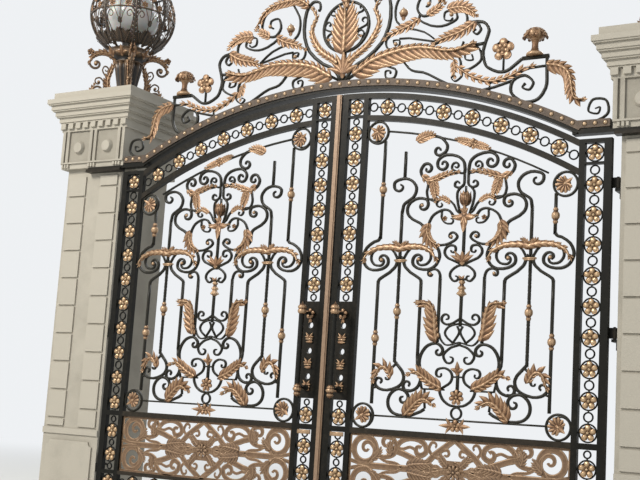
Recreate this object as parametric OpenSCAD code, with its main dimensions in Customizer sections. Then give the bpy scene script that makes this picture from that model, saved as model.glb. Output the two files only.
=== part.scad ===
// Wrought iron driveway gate: two leaves under a fixed arch, between masonry piers.
// Front is towards -Y, up is +Z. The origin is the middle of the left pier's underside.

/* [Gateway] */
// Clear width between the two piers
opening_w = 3690; // [3500:10:3900]
// Gap between a leaf and its pier
hinge_gap = 45; // [42:1:60]
// Gap between the meeting edges of the two leaves
meeting_gap = 8; // [6:1:12]
// Gap between the ground and the leaves
ground_gap = 50; // [30:1:80]
// Gap between the top of the leaves and the overthrow
head_gap = 22; // [14:1:40]

/* [Leaf frame] */
// Depth of the leaf frame, front to back
leaf_t = 36; // [30:1:44]
// Width of the ordinary frame bars
bar_w = 35; // [28:1:40]
// Width of the outer bar of the hinge stile
hinge_bar_w = 44; // [36:1:50]
// Width of the meeting bar beside the gap
meeting_bar_w = 42; // [36:1:50]
// Clear width of the bands that hold the rings
band_w = 112; // [100:1:120]
// Thickness of the thin cross bars in the stiles
cross_bar = 12; // [8:1:16]
// Height of the top of the middle rail
mid_rail_z = 640; // [620:1:680]
// Height of the middle rail itself
mid_rail_h = 34; // [28:1:44]
// Height of the bottom rail
bottom_rail_h = 43; // [34:1:50]
// Height of the rail under the strapwork panel
sill_rail_h = 25; // [18:1:32]

/* [Arch] */
// Radius of the line of rings in the arched rail
arch_r = 3250; // [3150:10:3400]
// Height of that line at the middle of the gate
crown_z = 2678; // [2600:2:2720]

/* [Rings and rosettes] */
// Bar thickness of the rings
ring_t = 9; // [7:0.5:12]
// Depth of the rings, front to back
ring_d = 14; // [10:1:20]
// Clearance between a ring and the bars beside it
ring_clear = 2; // [1:0.5:4]
// Outer diameter of the small rings
small_ring = 62; // [50:1:70]
// Number of rosettes along the arched rail of a leaf
arch_rosettes = 7; // [5:1:9]
// Number of rosettes up the hinge stile above the middle rail
hinge_rosettes = 9; // [7:1:11]
// Number of rosettes down the meeting stile above the handle
meeting_rosettes = 7; // [5:1:9]
// Thickness of the rosettes
rosette_t = 9; // [6:1:12]

/* [Scrollwork] */
// Width of the scroll bars
scroll_w = 15; // [10:1:18]
// Depth of the scroll bars, front to back
scroll_d = 16; // [10:1:18]
// Thickness of the gilded leaves
gold_t = 8; // [5:1:12]
// Thickness of the pierced strapwork panel
plate_t = 6; // [4:1:10]

/* [Handle] */
// Height of the middle of the pull handle
handle_z = 1100; // [1050:5:1150]
// Length of the pull handle over its knobs
handle_l = 590; // [520:5:620]
// Diameter of the pull handle
handle_dia = 26; // [20:1:34]
// Distance of the handle bar in front of the leaf
handle_reach = 105; // [70:1:120]
// Width of the bronze cover strip over the meeting edges
strip_w = 36; // [28:1:44]
// Thickness of the cover strip
strip_t = 14; // [8:1:20]

/* [Hinges] */
// Diameter of the hinge pins
pin_dia = 16; // [12:1:20]
// Diameter of the hinge knuckles
knuckle_dia = 28; // [24:1:32]
// Height of one hinge knuckle
knuckle_h = 60; // [50:1:80]
// Heights of the three hinges
hinge_low = 300; // [250:5:350]
hinge_mid = 1250; // [1150:5:1350]
hinge_top = 2100; // [1950:5:2150]

/* [Overthrow] */
// Radial height of the studded band
stud_band_h = 46; // [38:1:54]
// Depth of the overthrow beam
beam_d = 60; // [50:1:80]
// Height of the dark moulding under the band
beam_foot_h = 22; // [16:1:30]
// Spacing of the studs
stud_pitch = 71; // [60:1:90]
// Diameter of a stud
stud_dia = 24; // [18:1:28]

/* [Crest] */
// Height of the crest over the crown of the overthrow
crest_h = 698; // [640:2:760]

/* [Piers] */
// Width of a pier shaft
pier_w = 526; // [480:2:580]
// Depth of a pier shaft
pier_d = 526; // [480:2:580]
// How far the pier fronts lie behind the middle plane of the leaves
pier_setback = 15; // [15:1:24]
// Height of the plinth
plinth_h = 490; // [440:5:520]
// Height of the top of the shaft
shaft_top = 2403; // [2400:1:2420]
// Height of the top of the pier
pier_top = 2985; // [2960:1:3020]
// Projection of the raised stone blocks
block_proud = 12; // [8:1:16]
// Height from one block to the next
block_pitch = 204; // [190:1:220]
// Width of a raised block
block_w = 165; // [140:1:180]
// Projection of the frieze
frieze_proud = 55; // [45:1:60]
// Projection of the widest cornice course
cornice_proud = 148; // [130:1:160]

/* [Pier lamps] */
// Diameter of the openwork cage
cage_dia = 640; // [560:5:700]
// Diameter of the glass globe
globe_dia = 400; // [340:5:440]
// Height of the fluted socle
socle_h = 395; // [350:5:430]
// Number of cage ribs
cage_ribs = 8; // [6:1:10]
// Width of a cage rib
rib_w = 16; // [12:1:20]

/* [Hidden] */

$fn = 48;
arc_tol = 2.2;
arc_step = 40;
iron = [0.13, 0.14, 0.13];
bronze = [0.42, 0.29, 0.20];
gold = [0.72, 0.48, 0.26];
brass = [0.85, 0.68, 0.35];
stone = [0.84, 0.80, 0.72];
glass = [0.90, 0.91, 0.88];

// Pier centres, in the gate's own frame with x = 0 at the middle of the opening
pier_x = opening_w / 2 + pier_w / 2;
pier_y = pier_setback + pier_d / 2;

// Leaf edges and ring columns, measured from the middle of the opening
hinge_edge = opening_w / 2 - hinge_gap;
meet_edge = 22;
hinge_col = hinge_edge - hinge_bar_w - band_w / 2;
meet_col = meet_edge + meeting_bar_w + band_w / 2;
panel_in = meet_col + band_w / 2 + bar_w;
panel_out = hinge_col - band_w / 2 - bar_w;
panel_axis = (panel_in + panel_out) / 2;
panel_half = (panel_out - panel_in) / 2;

// Radii of the arched rail and of the overthrow, about one centre
arch_z0 = crown_z - arch_r;
rail_top_r = arch_r + band_w / 2 + bar_w;
band_top_r = arch_r + band_w / 2;
band_low_r = arch_r - band_w / 2;
rail_low_r = band_low_r - bar_w;
beam_low_r = rail_top_r + head_gap;
beam_band_r = beam_low_r + beam_foot_h;
beam_top_r = beam_band_r + stud_band_h;
function arch_z(r, x) = arch_z0 + sqrt(r * r - x * x);

// Levels of the leaf
stile_top = arch_z(rail_top_r, panel_out);
sill_top = ground_gap + bottom_rail_h + band_w + sill_rail_h;
band_mid_z = ground_gap + bottom_rail_h + band_w / 2;
mid_low = mid_rail_z - mid_rail_h;
big_ring = band_w - 2 * ring_clear;
rosette_r = big_ring / 2 - ring_t - 0.3;
hinge_corner_z = stile_top - cross_bar * 2 - band_w / 2;
meet_corner_z = arch_z(arch_r, meet_col);
plate_top = handle_z + handle_l / 2 + 20;
plate_low = handle_z - handle_l / 2 - 5;

// Hinge axis, behind the back face of the leaf
hinge_y = leaf_t / 2 + 12;
hinge_x = opening_w / 2 - knuckle_dia / 2 - 5;
strap_t = 8;
pintle_h = 16;

// Ends of the overthrow
beam_end_z = stile_top + head_gap;
beam_end_rise = 6;
foot_rise = 18;
frieze_low = max(shaft_top, beam_end_z + beam_end_rise + foot_rise);
bend_x = panel_out - 10;
foot_len = 330;
foot_proud = 60;

// Frame helpers
module placed() {
    translate([pier_x, -pier_y, 0]) children();
}
module mirrored(on) {
    if (on) mirror([1, 0, 0]) children();
    else children();
}
// Stands a drawing in the x-z plane, with its front face at y and t thick towards the back
module upright(y, t) {
    translate([0, y + t, 0]) rotate([90, 0, 0]) linear_extrude(t) children();
}
skin = 0.01;
module flat() {
    offset(delta = skin) children();
}

// Scroll paths: pieces are [radius, sweep], with radius 0 for a straight of that length
function turn_steps(r, s) = max(2, ceil(abs(s) / min(arc_step, 2 * acos(1 - arc_tol / max(r, 4)))));
function piece_points(p, a, g) =
    g[0] == 0
    ? [[p[0] + g[1] * cos(a), p[1] + g[1] * sin(a), a]]
    : let(d = sign(g[1]), c = [p[0] - d * g[0] * sin(a), p[1] + d * g[0] * cos(a)],
        n = turn_steps(g[0], g[1]))
      [for (i = [1:n]) let(h = a + g[1] * i / n) [c[0] + d * g[0] * sin(h), c[1] - d * g[0] * cos(h), h]];
function walk(p, a, path, i = 0) =
    i >= len(path)
    ? []
    : let(q = piece_points(p, a, path[i]), e = q[len(q) - 1])
      concat(q, walk([e[0], e[1]], e[2], path, i + 1));
function coil(r, d) = [[r, d * 150], [r * 0.6, d * 190]];
module bar(p, a, path, w = scroll_w) {
    s = concat([[p[0], p[1], a]], walk(p, a, path));
    polygon(concat(
        [for (q = s) [q[0] - w / 2 * sin(q[2]), q[1] + w / 2 * cos(q[2])]],
        [for (i = [len(s) - 1:-1:0]) [s[i][0] + w / 2 * sin(s[i][2]), s[i][1] - w / 2 * cos(s[i][2])]]
    ));
}
// A volute about centre c, entered at angle from, turning towards d
module volute(c, r, from, d, w = scroll_w) {
    p = [c[0] + r * cos(from), c[1] + r * sin(from)];
    bar(p, from + d * 90, coil(r, d), w);
}
module arc(c, r, a0, a1, w = scroll_w) {
    bar([c[0] + r * cos(a0), c[1] + r * sin(a0)], a0 + 90 * sign(a1 - a0), [[r, a1 - a0]], w);
}
module straight(p, q, w = scroll_w) {
    bar(p, atan2(q[1] - p[1], q[0] - p[0]), [[0, norm(q - p)]], w);
}
// Smooth curve through points, and a bar of width w along it
curve_step = 37;
function spline(a, b, c, d, t) =
    (2 * b + (c - a) * t + (2 * a - 5 * b + 4 * c - d) * t * t + (3 * b - a - 3 * c + d) * t * t * t) / 2;
function on_curve(p, t) =
    let(m = len(p) - 1, u = min(max(t, 0), 1) * m, i = min(floor(u), m - 1))
    spline(p[max(i - 1, 0)], p[i], p[i + 1], p[min(i + 2, m)], u - i);
function run_at(p, t) = on_curve(p, t + 0.01) - on_curve(p, t - 0.01);
function turn_at(p, t, e) =
    let(u = run_at(p, t), v = run_at(p, e)) acos(min(1, u * v / norm(u) / norm(v)));
function stops(p) =
    let(m = len(p) - 1)
    [
        for (i = [0:m - 1])
            let(k = max(1, ceil(turn_at(p, i / m, (i + 1) / m) / curve_step)))
            for (j = [0:k - 1]) (i + j / k) / m,
        1
    ];
function beside(p, t, h) = let(d = run_at(p, t)) on_curve(p, t) + h * [-d[1], d[0]] / norm(d);
module vine(p, w = scroll_w) {
    s = stops(p);
    polygon(concat([for (t = s) beside(p, t, w / 2)],
        [for (i = [len(s) - 1:-1:0]) beside(p, s[i], -w / 2)]));
}
module ring2d(c, d, t) {
    translate(c) difference() {
        circle(d = d, $fn = 28);
        circle(d = d - 2 * t, $fn = 24);
    }
}
module twice(x) {
    children();
    translate([2 * x, 0]) mirror([1, 0]) children();
}

// Masonry piers, drawn for the right side
module course(z0, z1, e) {
    translate([opening_w / 2 - e, pier_setback - e, z0])
        cube([pier_w + 2 * e, pier_d + 2 * e, z1 - z0]);
}
// Puts a drawing made on a face of the given width on the front, back and outer faces
module on_face(w) {
    $face_w = w;
    children();
}
module on_faces() {
    translate([pier_x, pier_setback, 0]) on_face(pier_w) children();
    translate([pier_x, pier_setback + pier_d, 0]) mirror([0, 1, 0]) on_face(pier_w) children();
    translate([opening_w / 2 + pier_w, pier_y, 0]) rotate([0, 0, 90]) on_face(pier_d) children();
}
plinth_band_h = 42;
panel_margin = 46;
panel_notch = 34;
module pier_plinth() {
    color(stone) {
        course(0, plinth_h, 0);
        on_faces() {
            translate([-$face_w / 2, -block_proud, plinth_h - plinth_band_h])
                cube([$face_w, block_proud + 1, plinth_band_h]);
            translate([0, -block_proud, 0]) plinth_panel();
        }
    }
}
module plinth_panel() {
    w = $face_w / 2 - panel_margin;
    z0 = panel_margin * 1.5;
    z1 = plinth_h - plinth_band_h - panel_margin;
    upright(0, block_proud + 1) difference() {
        translate([-w, z0]) square([2 * w, z1 - z0]);
        for (x = [-w, w], z = [z0, z1]) translate([x, z]) circle(panel_notch);
    }
}
block_gap = 16;
block_margin = 28;
inner_joint = plinth_h + 141;
outer_joint = inner_joint - 71;
module block_column(x, joint) {
    rows = ceil((frieze_low - plinth_h) / block_pitch) + 1;
    for (i = [-1:rows]) {
        z0 = max(joint + i * block_pitch + block_gap / 2, plinth_h + block_gap);
        z1 = min(joint + (i + 1) * block_pitch - block_gap / 2, frieze_low - 60);
        if (z1 - z0 > 30) translate([x, -block_proud, z0]) cube([block_w, block_proud + 1, z1 - z0]);
    }
}
module pier_shaft() {
    color(stone) {
        course(plinth_h, frieze_low, 0);
        on_faces() {
            block_column(-$face_w / 2 + block_margin, inner_joint);
            block_column($face_w / 2 - block_margin - block_w, outer_joint);
        }
    }
}
gutta_h = 48;
frieze_h = 250;
frieze_top = frieze_low + gutta_h + frieze_h;
die_proud = frieze_proud - 14;
boss_r = 52;
module pier_frieze() {
    color(stone) {
        course(frieze_low, frieze_low + gutta_h, die_proud);
        course(frieze_low + gutta_h, frieze_top - 12, die_proud);
        course(frieze_top - 12, frieze_top, frieze_proud);
        on_faces() translate([0, -die_proud, 0]) frieze_face();
    }
}
module frieze_face() {
    proud = frieze_proud - die_proud;
    z0 = frieze_low + gutta_h;
    h = frieze_h - 12;
    half = $face_w / 2 + die_proud;
    rib = 26;
    for (x = [-half, half - rib, -half + rib * 1.6, half - rib * 2.6, -rib * 1.3, rib * 0.3])
        translate([x, -proud, z0]) cube([rib, proud + 1, h]);
    translate([-half, -proud, z0 - 10]) cube([2 * half, proud + 1, 12]);
    for (x = [-half + rib, -rib * 1.3, half - rib * 3])
        for (k = [0:2]) translate([x + k * rib, -proud, z0 - 40]) cube([rib * 0.6, proud + 1, 26]);
    for (x = [-half * 0.45, half * 0.45])
        translate([x, 1, z0 + h * 0.46]) rotate([90, 0, 0]) cylinder(r1 = boss_r,
            r2 = boss_r * 0.72, h = proud + 13);
}
dentil_h = 50;
dentil_w = 46;
module pier_cornice() {
    step = (cornice_proud - frieze_proud - 20) / 3;
    h = (pier_top - frieze_top - dentil_h) / 5.2;
    z = frieze_top + dentil_h;
    color(stone) {
        course(frieze_top, z, frieze_proud);
        on_faces() translate([0, -frieze_proud, frieze_top]) dentils();
        for (i = [0:3]) {
            course(z + i * h, z + i * h + 10, frieze_proud + 12 + i * step);
            course(z + i * h + 10, z + (i + 1) * h, frieze_proud + 20 + i * step);
        }
        course(z + 4 * h, pier_top, cornice_proud - 34);
    }
}
module dentils() {
    half = $face_w / 2 + frieze_proud;
    n = floor(2 * half / (dentil_w * 1.7));
    pitch = (2 * half - dentil_w) / n;
    for (i = [0:n]) translate([-half + i * pitch, -18, 8]) cube([dentil_w, 19, dentil_h - 8]);
}

// Pier lamps
cage_sink = 0.46;
cage_band = 18;
lamp_z = pier_top + socle_h + cage_dia * cage_sink;
globe_z = lamp_z - 20;
module at_lamp() {
    translate([pier_x, pier_y, 0]) children();
}
module lamp_socle() {
    color(iron) at_lamp() {
        translate([0, 0, pier_top]) difference() {
            rotate_extrude() polygon([
                [0, 0], [118, 0], [118, 22], [92, 34], [74, 60], [70, 90], [112, socle_h - 90],
                [104, socle_h - 72], [150, socle_h - 40], [156, socle_h - 16], [150, socle_h], [0, socle_h]
            ]);
            for (k = [0:11]) rotate([0, 0, 30 * k]) translate([84, 0, 70])
                rotate([0, 9.5, 0]) cylinder(r = 12, h = socle_h - 170, $fn = 24);
        }
        difference() {
            translate([0, 0, pier_top + socle_h - 1]) cylinder(r = 66,
                h = globe_z - globe_dia / 2 - pier_top - socle_h + 36);
            translate([0, 0, globe_z]) sphere(d = globe_dia + 0.6, $fn = 64);
        }
        for (k = [0:3]) rotate([0, 0, 45 + 90 * k]) lamp_arm();
    }
}
module lamp_arm() {
    upright(-8, 16) flat() {
        bar([100, pier_top + socle_h - 62], 20, concat([[60, -70], [170, -72], [70, 60]], coil(62, 1)), 14);
        volute([205, pier_top + 62], 54, 190, -1, 13);
        bar([118, pier_top + 7 + skin], 0, [[0, 150]], 14);
    }
}
module lamp_cage() {
    r = cage_dia / 2;
    color(gold) at_lamp() translate([0, 0, lamp_z]) {
        for (k = [0:cage_ribs - 1]) rotate([0, 0, 360 / cage_ribs * k]) cage_rib();
        for (z = [cage_band / 2 - cage_dia * cage_sink, -0.14 * r, 0.64 * r])
            translate([0, 0, z - cage_band / 2])
                rotate_extrude() translate([sqrt(r * r - z * z) - 9, 0]) square([14, cage_band]);
        translate([0, 0, r - 26]) cylinder(r1 = 74, r2 = 52, h = 34);
        translate([0, 0, r + 6]) rotate_extrude() polygon([
            [0, 0], [40, 0], [22, 20], [44, 48], [44, 66], [20, 88], [26, 104], [10, 128], [0, 150]
        ]);
    }
}
module cage_rib() {
    r = cage_dia / 2;
    rotate([90, 0, 0]) rotate_extrude(angle = 148, start = -62, $fn = 96)
        translate([r - rib_w / 2, -rib_w / 2]) square([rib_w, rib_w]);
}
module lamp_globe() {
    color(glass) at_lamp() translate([0, 0, globe_z]) sphere(d = globe_dia, $fn = 64);
}

// Overthrow: the fixed arch over the leaves
module sector(r0, r1, half_angle, y0, y1) {
    translate([0, 0, arch_z0]) rotate([90, 0, 0])
        rotate_extrude(angle = 2 * half_angle, start = 90 - half_angle, $fn = 360)
            translate([r0, -y1]) square([r1 - r0, y1 - y0]);
}
bend_angle = asin(bend_x / beam_low_r);
end_top_z = arch_z(beam_top_r, bend_x);
frieze_side = opening_w / 2 - frieze_proud;
foot_x = opening_w / 2 - 28;
end_low_z = beam_end_z + beam_end_rise;
module overthrow_beam() {
    color(iron) {
        sector(beam_low_r, beam_top_r, bend_angle, -beam_d / 2, beam_d / 2);
        sector(beam_low_r, beam_low_r + 10, bend_angle, -beam_d / 2 - 9, beam_d / 2 + 9);
        for (on = [false, true]) mirrored(on) {
            translate([bend_x - 30, -beam_d / 2, end_low_z])
                cube([frieze_side - bend_x + 30, beam_d, end_top_z - end_low_z]);
            translate([bend_x - 30, -beam_d / 2, end_low_z])
                cube([opening_w / 2 - bend_x + 30, beam_d, frieze_low - skin - end_low_z]);
            translate([foot_x, pier_setback - foot_proud, stile_top + 10])
                cube([foot_len, foot_proud, 22]);
            translate([foot_x, pier_setback - foot_proud + 12, stile_top + 30])
                cube([foot_len - 12, foot_proud - 12, frieze_low - skin - stile_top - 30]);
        }
    }
}
band_t = 7;
stud_turn = stud_pitch / (beam_band_r + stud_band_h / 2) * 180 / PI;
studs_side = floor((bend_angle - 0.3) / stud_turn);
module stud() {
    rotate([90, 0, 0]) translate([0, 0, -1]) cylinder(r1 = stud_dia / 2, r2 = stud_dia / 4, h = 9,
        $fn = 24);
}
module overthrow_stud_band() {
    front = -beam_d / 2 - band_t;
    band_z = end_top_z - stud_band_h / 2;
    color(bronze) {
        sector(beam_band_r, beam_top_r, bend_angle, front, -beam_d / 2);
        for (k = [-studs_side:studs_side])
            translate([0, 0, arch_z0]) rotate([0, k * stud_turn, 0])
                translate([0, front, beam_band_r + stud_band_h / 2]) stud();
        for (on = [false, true]) mirrored(on) {
            translate([bend_x - 8, front, end_top_z - stud_band_h])
                cube([frieze_side - bend_x + 8, band_t, stud_band_h]);
            for (k = [0:2]) translate([bend_x + 45 + k * stud_pitch * 0.85, front, band_z]) stud();
        }
    }
}

// Hinges
module at_hinges() {
    for (z = [hinge_low, hinge_mid, hinge_top]) translate([hinge_x, hinge_y, z]) children();
}
module pintles() {
    reach = opening_w / 2 - hinge_x;
    low = -knuckle_h / 2 - 3 - pintle_h;
    color(iron) at_hinges() {
        translate([-knuckle_dia / 2, -knuckle_dia / 2, low])
            cube([knuckle_dia / 2 + reach, knuckle_dia / 2 + 70, pintle_h]);
        translate([reach - 6, -knuckle_dia / 2 + 2, low - 46]) cube([6, knuckle_dia / 2 + 66, 48]);
        translate([0, 0, low]) cylinder(d = pin_dia, h = pintle_h + knuckle_h + 8);
    }
}
module knuckles() {
    at_hinges() difference() {
        union() {
            translate([0, 0, -knuckle_h / 2]) cylinder(d = knuckle_dia, h = knuckle_h);
            translate([hinge_edge - hinge_x - 36, -hinge_y + leaf_t / 2 - 1, -knuckle_h / 2])
                cube([hinge_x - hinge_edge + 36, strap_t + 1, knuckle_h]);
        }
        translate([0, 0, -knuckle_h]) cylinder(d = pin_dia + 0.6, h = 2 * knuckle_h);
    }
}

// Leaf frame, drawn for the right leaf
module frame_bar(x0, x1, z0, z1) {
    translate([x0, -leaf_t / 2, z0]) cube([x1 - x0, leaf_t, z1 - z0]);
}
module cross_pieces(x0, x1, top) {
    frame_bar(x0, x1, top - cross_bar, top);
    frame_bar(x0, x1, mid_low, mid_rail_z);
    frame_bar(x0, x1, sill_top - sill_rail_h, sill_top);
    frame_bar(x0, x1, ground_gap, ground_gap + bottom_rail_h);
}
hinge_row_top = hinge_corner_z - band_w / 2 - cross_bar;
meet_row_top = meet_corner_z - band_w / 2 - cross_bar;
module hinge_stile() {
    color(iron) {
        frame_bar(panel_out, panel_out + bar_w, ground_gap, stile_top);
        frame_bar(hinge_edge - hinge_bar_w, hinge_edge, ground_gap, stile_top);
        frame_bar(panel_out, hinge_edge, hinge_corner_z + band_w / 2, stile_top);
        cross_pieces(panel_out, hinge_edge, hinge_corner_z - band_w / 2);
        knuckles();
    }
}
module meeting_stile(edge) {
    color(iron) intersection() {
        union() {
            frame_bar(edge, meet_edge + meeting_bar_w, ground_gap, crown_z + band_w);
            frame_bar(panel_in - bar_w, panel_in, ground_gap, crown_z + band_w);
            cross_pieces(edge, panel_in, meet_corner_z - band_w / 2);
        }
        translate([0, leaf_t, arch_z0]) rotate([90, 0, 0]) cylinder(r = band_top_r, h = 2 * leaf_t,
            $fn = 360);
    }
}
module arched_rail(edge) {
    color(iron) {
        intersection() {
            sector(band_top_r, rail_top_r, 40, -leaf_t / 2, leaf_t / 2);
            translate([edge, -leaf_t, 0]) cube([panel_out - edge, 2 * leaf_t, 2 * crown_z]);
        }
        intersection() {
            sector(rail_low_r, band_low_r, 40, -leaf_t / 2, leaf_t / 2);
            translate([panel_in, -leaf_t, 0]) cube([panel_out - panel_in, 2 * leaf_t, 2 * crown_z]);
        }
    }
}
module leaf_rails() {
    color(iron) {
        frame_bar(panel_in, panel_out, mid_low, mid_rail_z);
        frame_bar(panel_in, panel_out, sill_top - sill_rail_h, sill_top);
        frame_bar(panel_in, panel_out, ground_gap, ground_gap + bottom_rail_h);
    }
}

// Rings: a row of n big rings, each followed by a small one, with a small one first if lead is 1
function row_small(len, n, lead) =
    min(small_ring, (len - 2 * ring_clear - n * big_ring - (2 * n + lead - 1) * link_min) / (n + lead));
function row_link(len, n, lead) =
    (len - 2 * ring_clear - n * big_ring - (n + lead) * row_small(len, n, lead)) / (2 * n + lead - 1);
function row_pitch(len, n, lead) = big_ring + row_small(len, n, lead) + 2 * row_link(len, n, lead);
function big_at(len, n, lead) =
    let(first = ring_clear + big_ring / 2 + lead * (row_small(len, n, lead) + row_link(len, n, lead)))
    [for (k = [0:n - 1]) first + k * row_pitch(len, n, lead)];
function small_at(len, n, lead) =
    let(first = ring_clear + row_small(len, n, lead) / 2 + (1 - lead) * (big_ring + row_link(len, n, lead)))
    [for (k = [0:n + lead - 1]) first + k * row_pitch(len, n, lead)];
module ring(d) {
    rotate([90, 0, 0]) translate([0, 0, -ring_d / 2]) difference() {
        cylinder(d = d, h = ring_d);
        translate([0, 0, -1]) cylinder(d = d - 2 * ring_t, h = ring_d + 2);
    }
}
link_min = 3;
lug = 9;
lug_grip = 3;
lug_d = ring_d - 5;
module lug_bar(w, l) {
    translate([-w / 2, -lug_d / 2, -l / 2]) cube([w, lug_d, l]);
}
module side_lugs() {
    side = ring_clear + lug_grip;
    for (s = [-1, 1]) translate([s * (band_w - side) / 2, 0, 0]) lug_bar(side, lug);
}
module on_arch(s) {
    a = asin(panel_in / arch_r) + s / arch_r * 180 / PI;
    translate([0, 0, arch_z0]) rotate([0, a, 0]) translate([0, 0, arch_r]) rotate([0, 90, 0]) children();
}
arch_len = (asin(panel_out / arch_r) - asin(panel_in / arch_r)) * PI / 180 * arch_r - 8;
band_len = panel_out - panel_in;
hinge_len = hinge_row_top - mid_rail_z;
meet_len = meet_row_top - plate_top;
latch_len = plate_low - mid_rail_z;
foot_row_len = mid_low - sill_top;
// Rows of rings: kind (0 upright, 1 along the arch, 2 along the bottom band), x, start, length,
// number of big rings, and 1 where a small ring comes first
ring_rows = [
    [0, hinge_col, mid_rail_z, hinge_len, hinge_rosettes, 0],
    [0, hinge_col, sill_top, foot_row_len, 2, 1],
    [0, meet_col, plate_top, meet_len, meeting_rosettes, 1],
    [0, meet_col, mid_rail_z, latch_len, 1, 0],
    [0, meet_col, sill_top, foot_row_len, 2, 1],
    [1, 0, 0, arch_len, arch_rosettes, 1],
    [2, 0, 0, band_len, arch_rosettes, 1]
];
module on_row(row, s) {
    if (row[0] == 0) translate([row[1], 0, row[2] + s]) children();
    if (row[0] == 1) on_arch(s) children();
    if (row[0] == 2) translate([panel_in + s, 0, band_mid_z]) rotate([0, 90, 0]) children();
}
module ring_row(row) {
    len = row[3];
    n = row[4];
    lead = row[5];
    small = row_small(len, n, lead);
    link = row_link(len, n, lead);
    end = ring_clear + lug_grip;
    for (s = small_at(len, n, lead)) on_row(row, s) ring(small);
    for (s = big_at(len, n, lead)) on_row(row, s) {
        ring(big_ring);
        side_lugs();
        translate([0, 0, (big_ring + link) / 2]) lug_bar(lug, link + 2 * lug_grip);
        if (lead == 1 || s > big_ring) translate([0, 0, -(big_ring + link) / 2]) lug_bar(lug,
            link + 2 * lug_grip);
    }
    if (row[0] != 1) for (s = [end / 2, len - end / 2]) on_row(row, s) lug_bar(lug, end);
}
module leaf_rings() {
    color(iron) {
        for (row = ring_rows) ring_row(row);
        for (p = corner_places()) translate(p) {
            ring(big_ring);
            side_lugs();
            rotate([0, 90, 0]) side_lugs();
        }
    }
}
function corner_places() = [
    [hinge_col, 0, hinge_corner_z], [meet_col, 0, meet_corner_z],
    [hinge_col, 0, band_mid_z], [meet_col, 0, band_mid_z]
];
petal_turn = 72;
module rosette() {
    tips = [[0.4, -36], [1, -14], [1, 14]];
    rotate([90, 0, 0]) {
        linear_extrude(rosette_t) polygon([
            for (k = [0:4], t = tips)
                let(r = rosette_r * t[0], a = 90 + petal_turn * k + t[1])
                [r * cos(a), r * sin(a)]
        ]);
        cylinder(r = rosette_r * 0.24, h = rosette_t + 5, $fn = 24);
    }
}
module leaf_rosettes() {
    color(brass) {
        for (row = ring_rows, s = big_at(row[3], row[4], row[5])) on_row(row, s) rosette();
        for (p = corner_places()) translate(p) rosette();
    }
}

// Scrollwork of a leaf: drawn about the panel's axis, upwards from the middle rail
drawn_half = 699;
drawn_height = 1813;
module on_panel() {
    translate([panel_axis, mid_rail_z])
        scale([panel_half / drawn_half, (arch_z(rail_low_r, panel_axis) - mid_rail_z) / drawn_height])
            children();
}
module clear_panel() {
    intersection() {
        translate([panel_in + skin, mid_rail_z + skin]) square([panel_out - panel_in - 2 * skin, crown_z]);
        translate([0, arch_z0]) circle(rail_low_r - 0.3, $fn = 720);
    }
}
corner_r = 78;
border_w = 10;
border_gap = 66;
border_low = 79;
module corner_ring(p, turn) {
    translate(p) rotate(turn) {
        ring2d([0, 0], 2 * corner_r, 13);
        volute([0, 0], corner_r - 8, 200, 1, 11);
    }
}
corner_step = corner_r - 1;
corner_in = [panel_in + corner_step, arch_z(rail_low_r - corner_step, panel_in + corner_step)];
corner_out = [panel_out - corner_step, arch_z(rail_low_r - corner_step, panel_out - corner_step)];
module border() {
    corner_ring([panel_in + corner_step, mid_rail_z + corner_step], 0);
    corner_ring([panel_out - corner_step, mid_rail_z + corner_step], 90);
    corner_ring(corner_in, 270);
    corner_ring(corner_out, 180);
    a0 = acos((panel_out - 2 * corner_step) / rail_low_r);
    a1 = acos((panel_in + 2 * corner_step) / rail_low_r);
    arc([0, arch_z0], rail_low_r - border_gap, a0, a1, border_w);
    straight([panel_in + 2 * corner_step - 8, mid_rail_z + border_low],
        [panel_out - 2 * corner_step + 8, mid_rail_z + border_low], border_w);
}
t_axis = 418;
t_reach = 148;
inner_bar = 143;
stem_u = 424;
spring_v = 1175;
module tee_scrolls() {
    translate([t_axis, 0]) twice(0) {
        vine([[t_reach, spring_v + 10], [162, 1162], [196, 1150], [240, 1117], [262, 1072],
            [260, 1035], [236, 995],
            [190, 974], [128, 980], [84, 1008], [80, 1040], [102, 1060], [124, 1050], [122, 1034]]);
        vine([[168, 1104], [200, 1078], [204, 1036], [178, 1006], [140, 1000], [112, 1014], [108, 1040]]);
        vine([[8, 1045], [25, 1035], [25, 1010], [40, 986], [78, 953], [124, 927], [t_reach, 900]]);
        vine([[12, 1030], [24, 1045], [42, 1080], [64, 1104]], 12);
    }
}
module side_bars() {
    outer = t_axis + t_reach;
    inner = t_axis - t_reach;
    straight([outer, 905], [outer, 150]);
    straight([inner, 905], [inner, 432]);
    vine([[inner, 440], [267, 405], [250, 360], [241, 307], [262, 260], [308, 237], [346, 246],
        [358, 272], [340, 296], [316, 290], [314, 272]]);
    straight([stem_u, 408], [stem_u, 1340]);
    vine([[stem_u, 1330], [414, 1380], [385, 1404], [352, 1426], [334, 1460],
        [336, 1496], [364, 1530], [408, 1547], [456, 1542], [486, 1524], [494, 1495], [480, 1470],
            [448, 1462],
        [424, 1476], [430, 1494]]);
    vine([[inner, spring_v], [inner, 1230], [290, 1258], [346, 1286], [380, 1318], [388, 1355], [374, 1388],
        [342, 1410], [304, 1418], [260, 1408], [234, 1384], [234, 1358], [256, 1340], [290, 1340],
            [308, 1358], [292, 1370]]);
    straight([inner_bar, 535], [inner_bar, 925]);
    vine([[inner_bar, 915], [146, 944], [162, 968], [190, 976], [220, 964], [231, 944],
        [216, 930], [202, 942]]);
}
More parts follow.
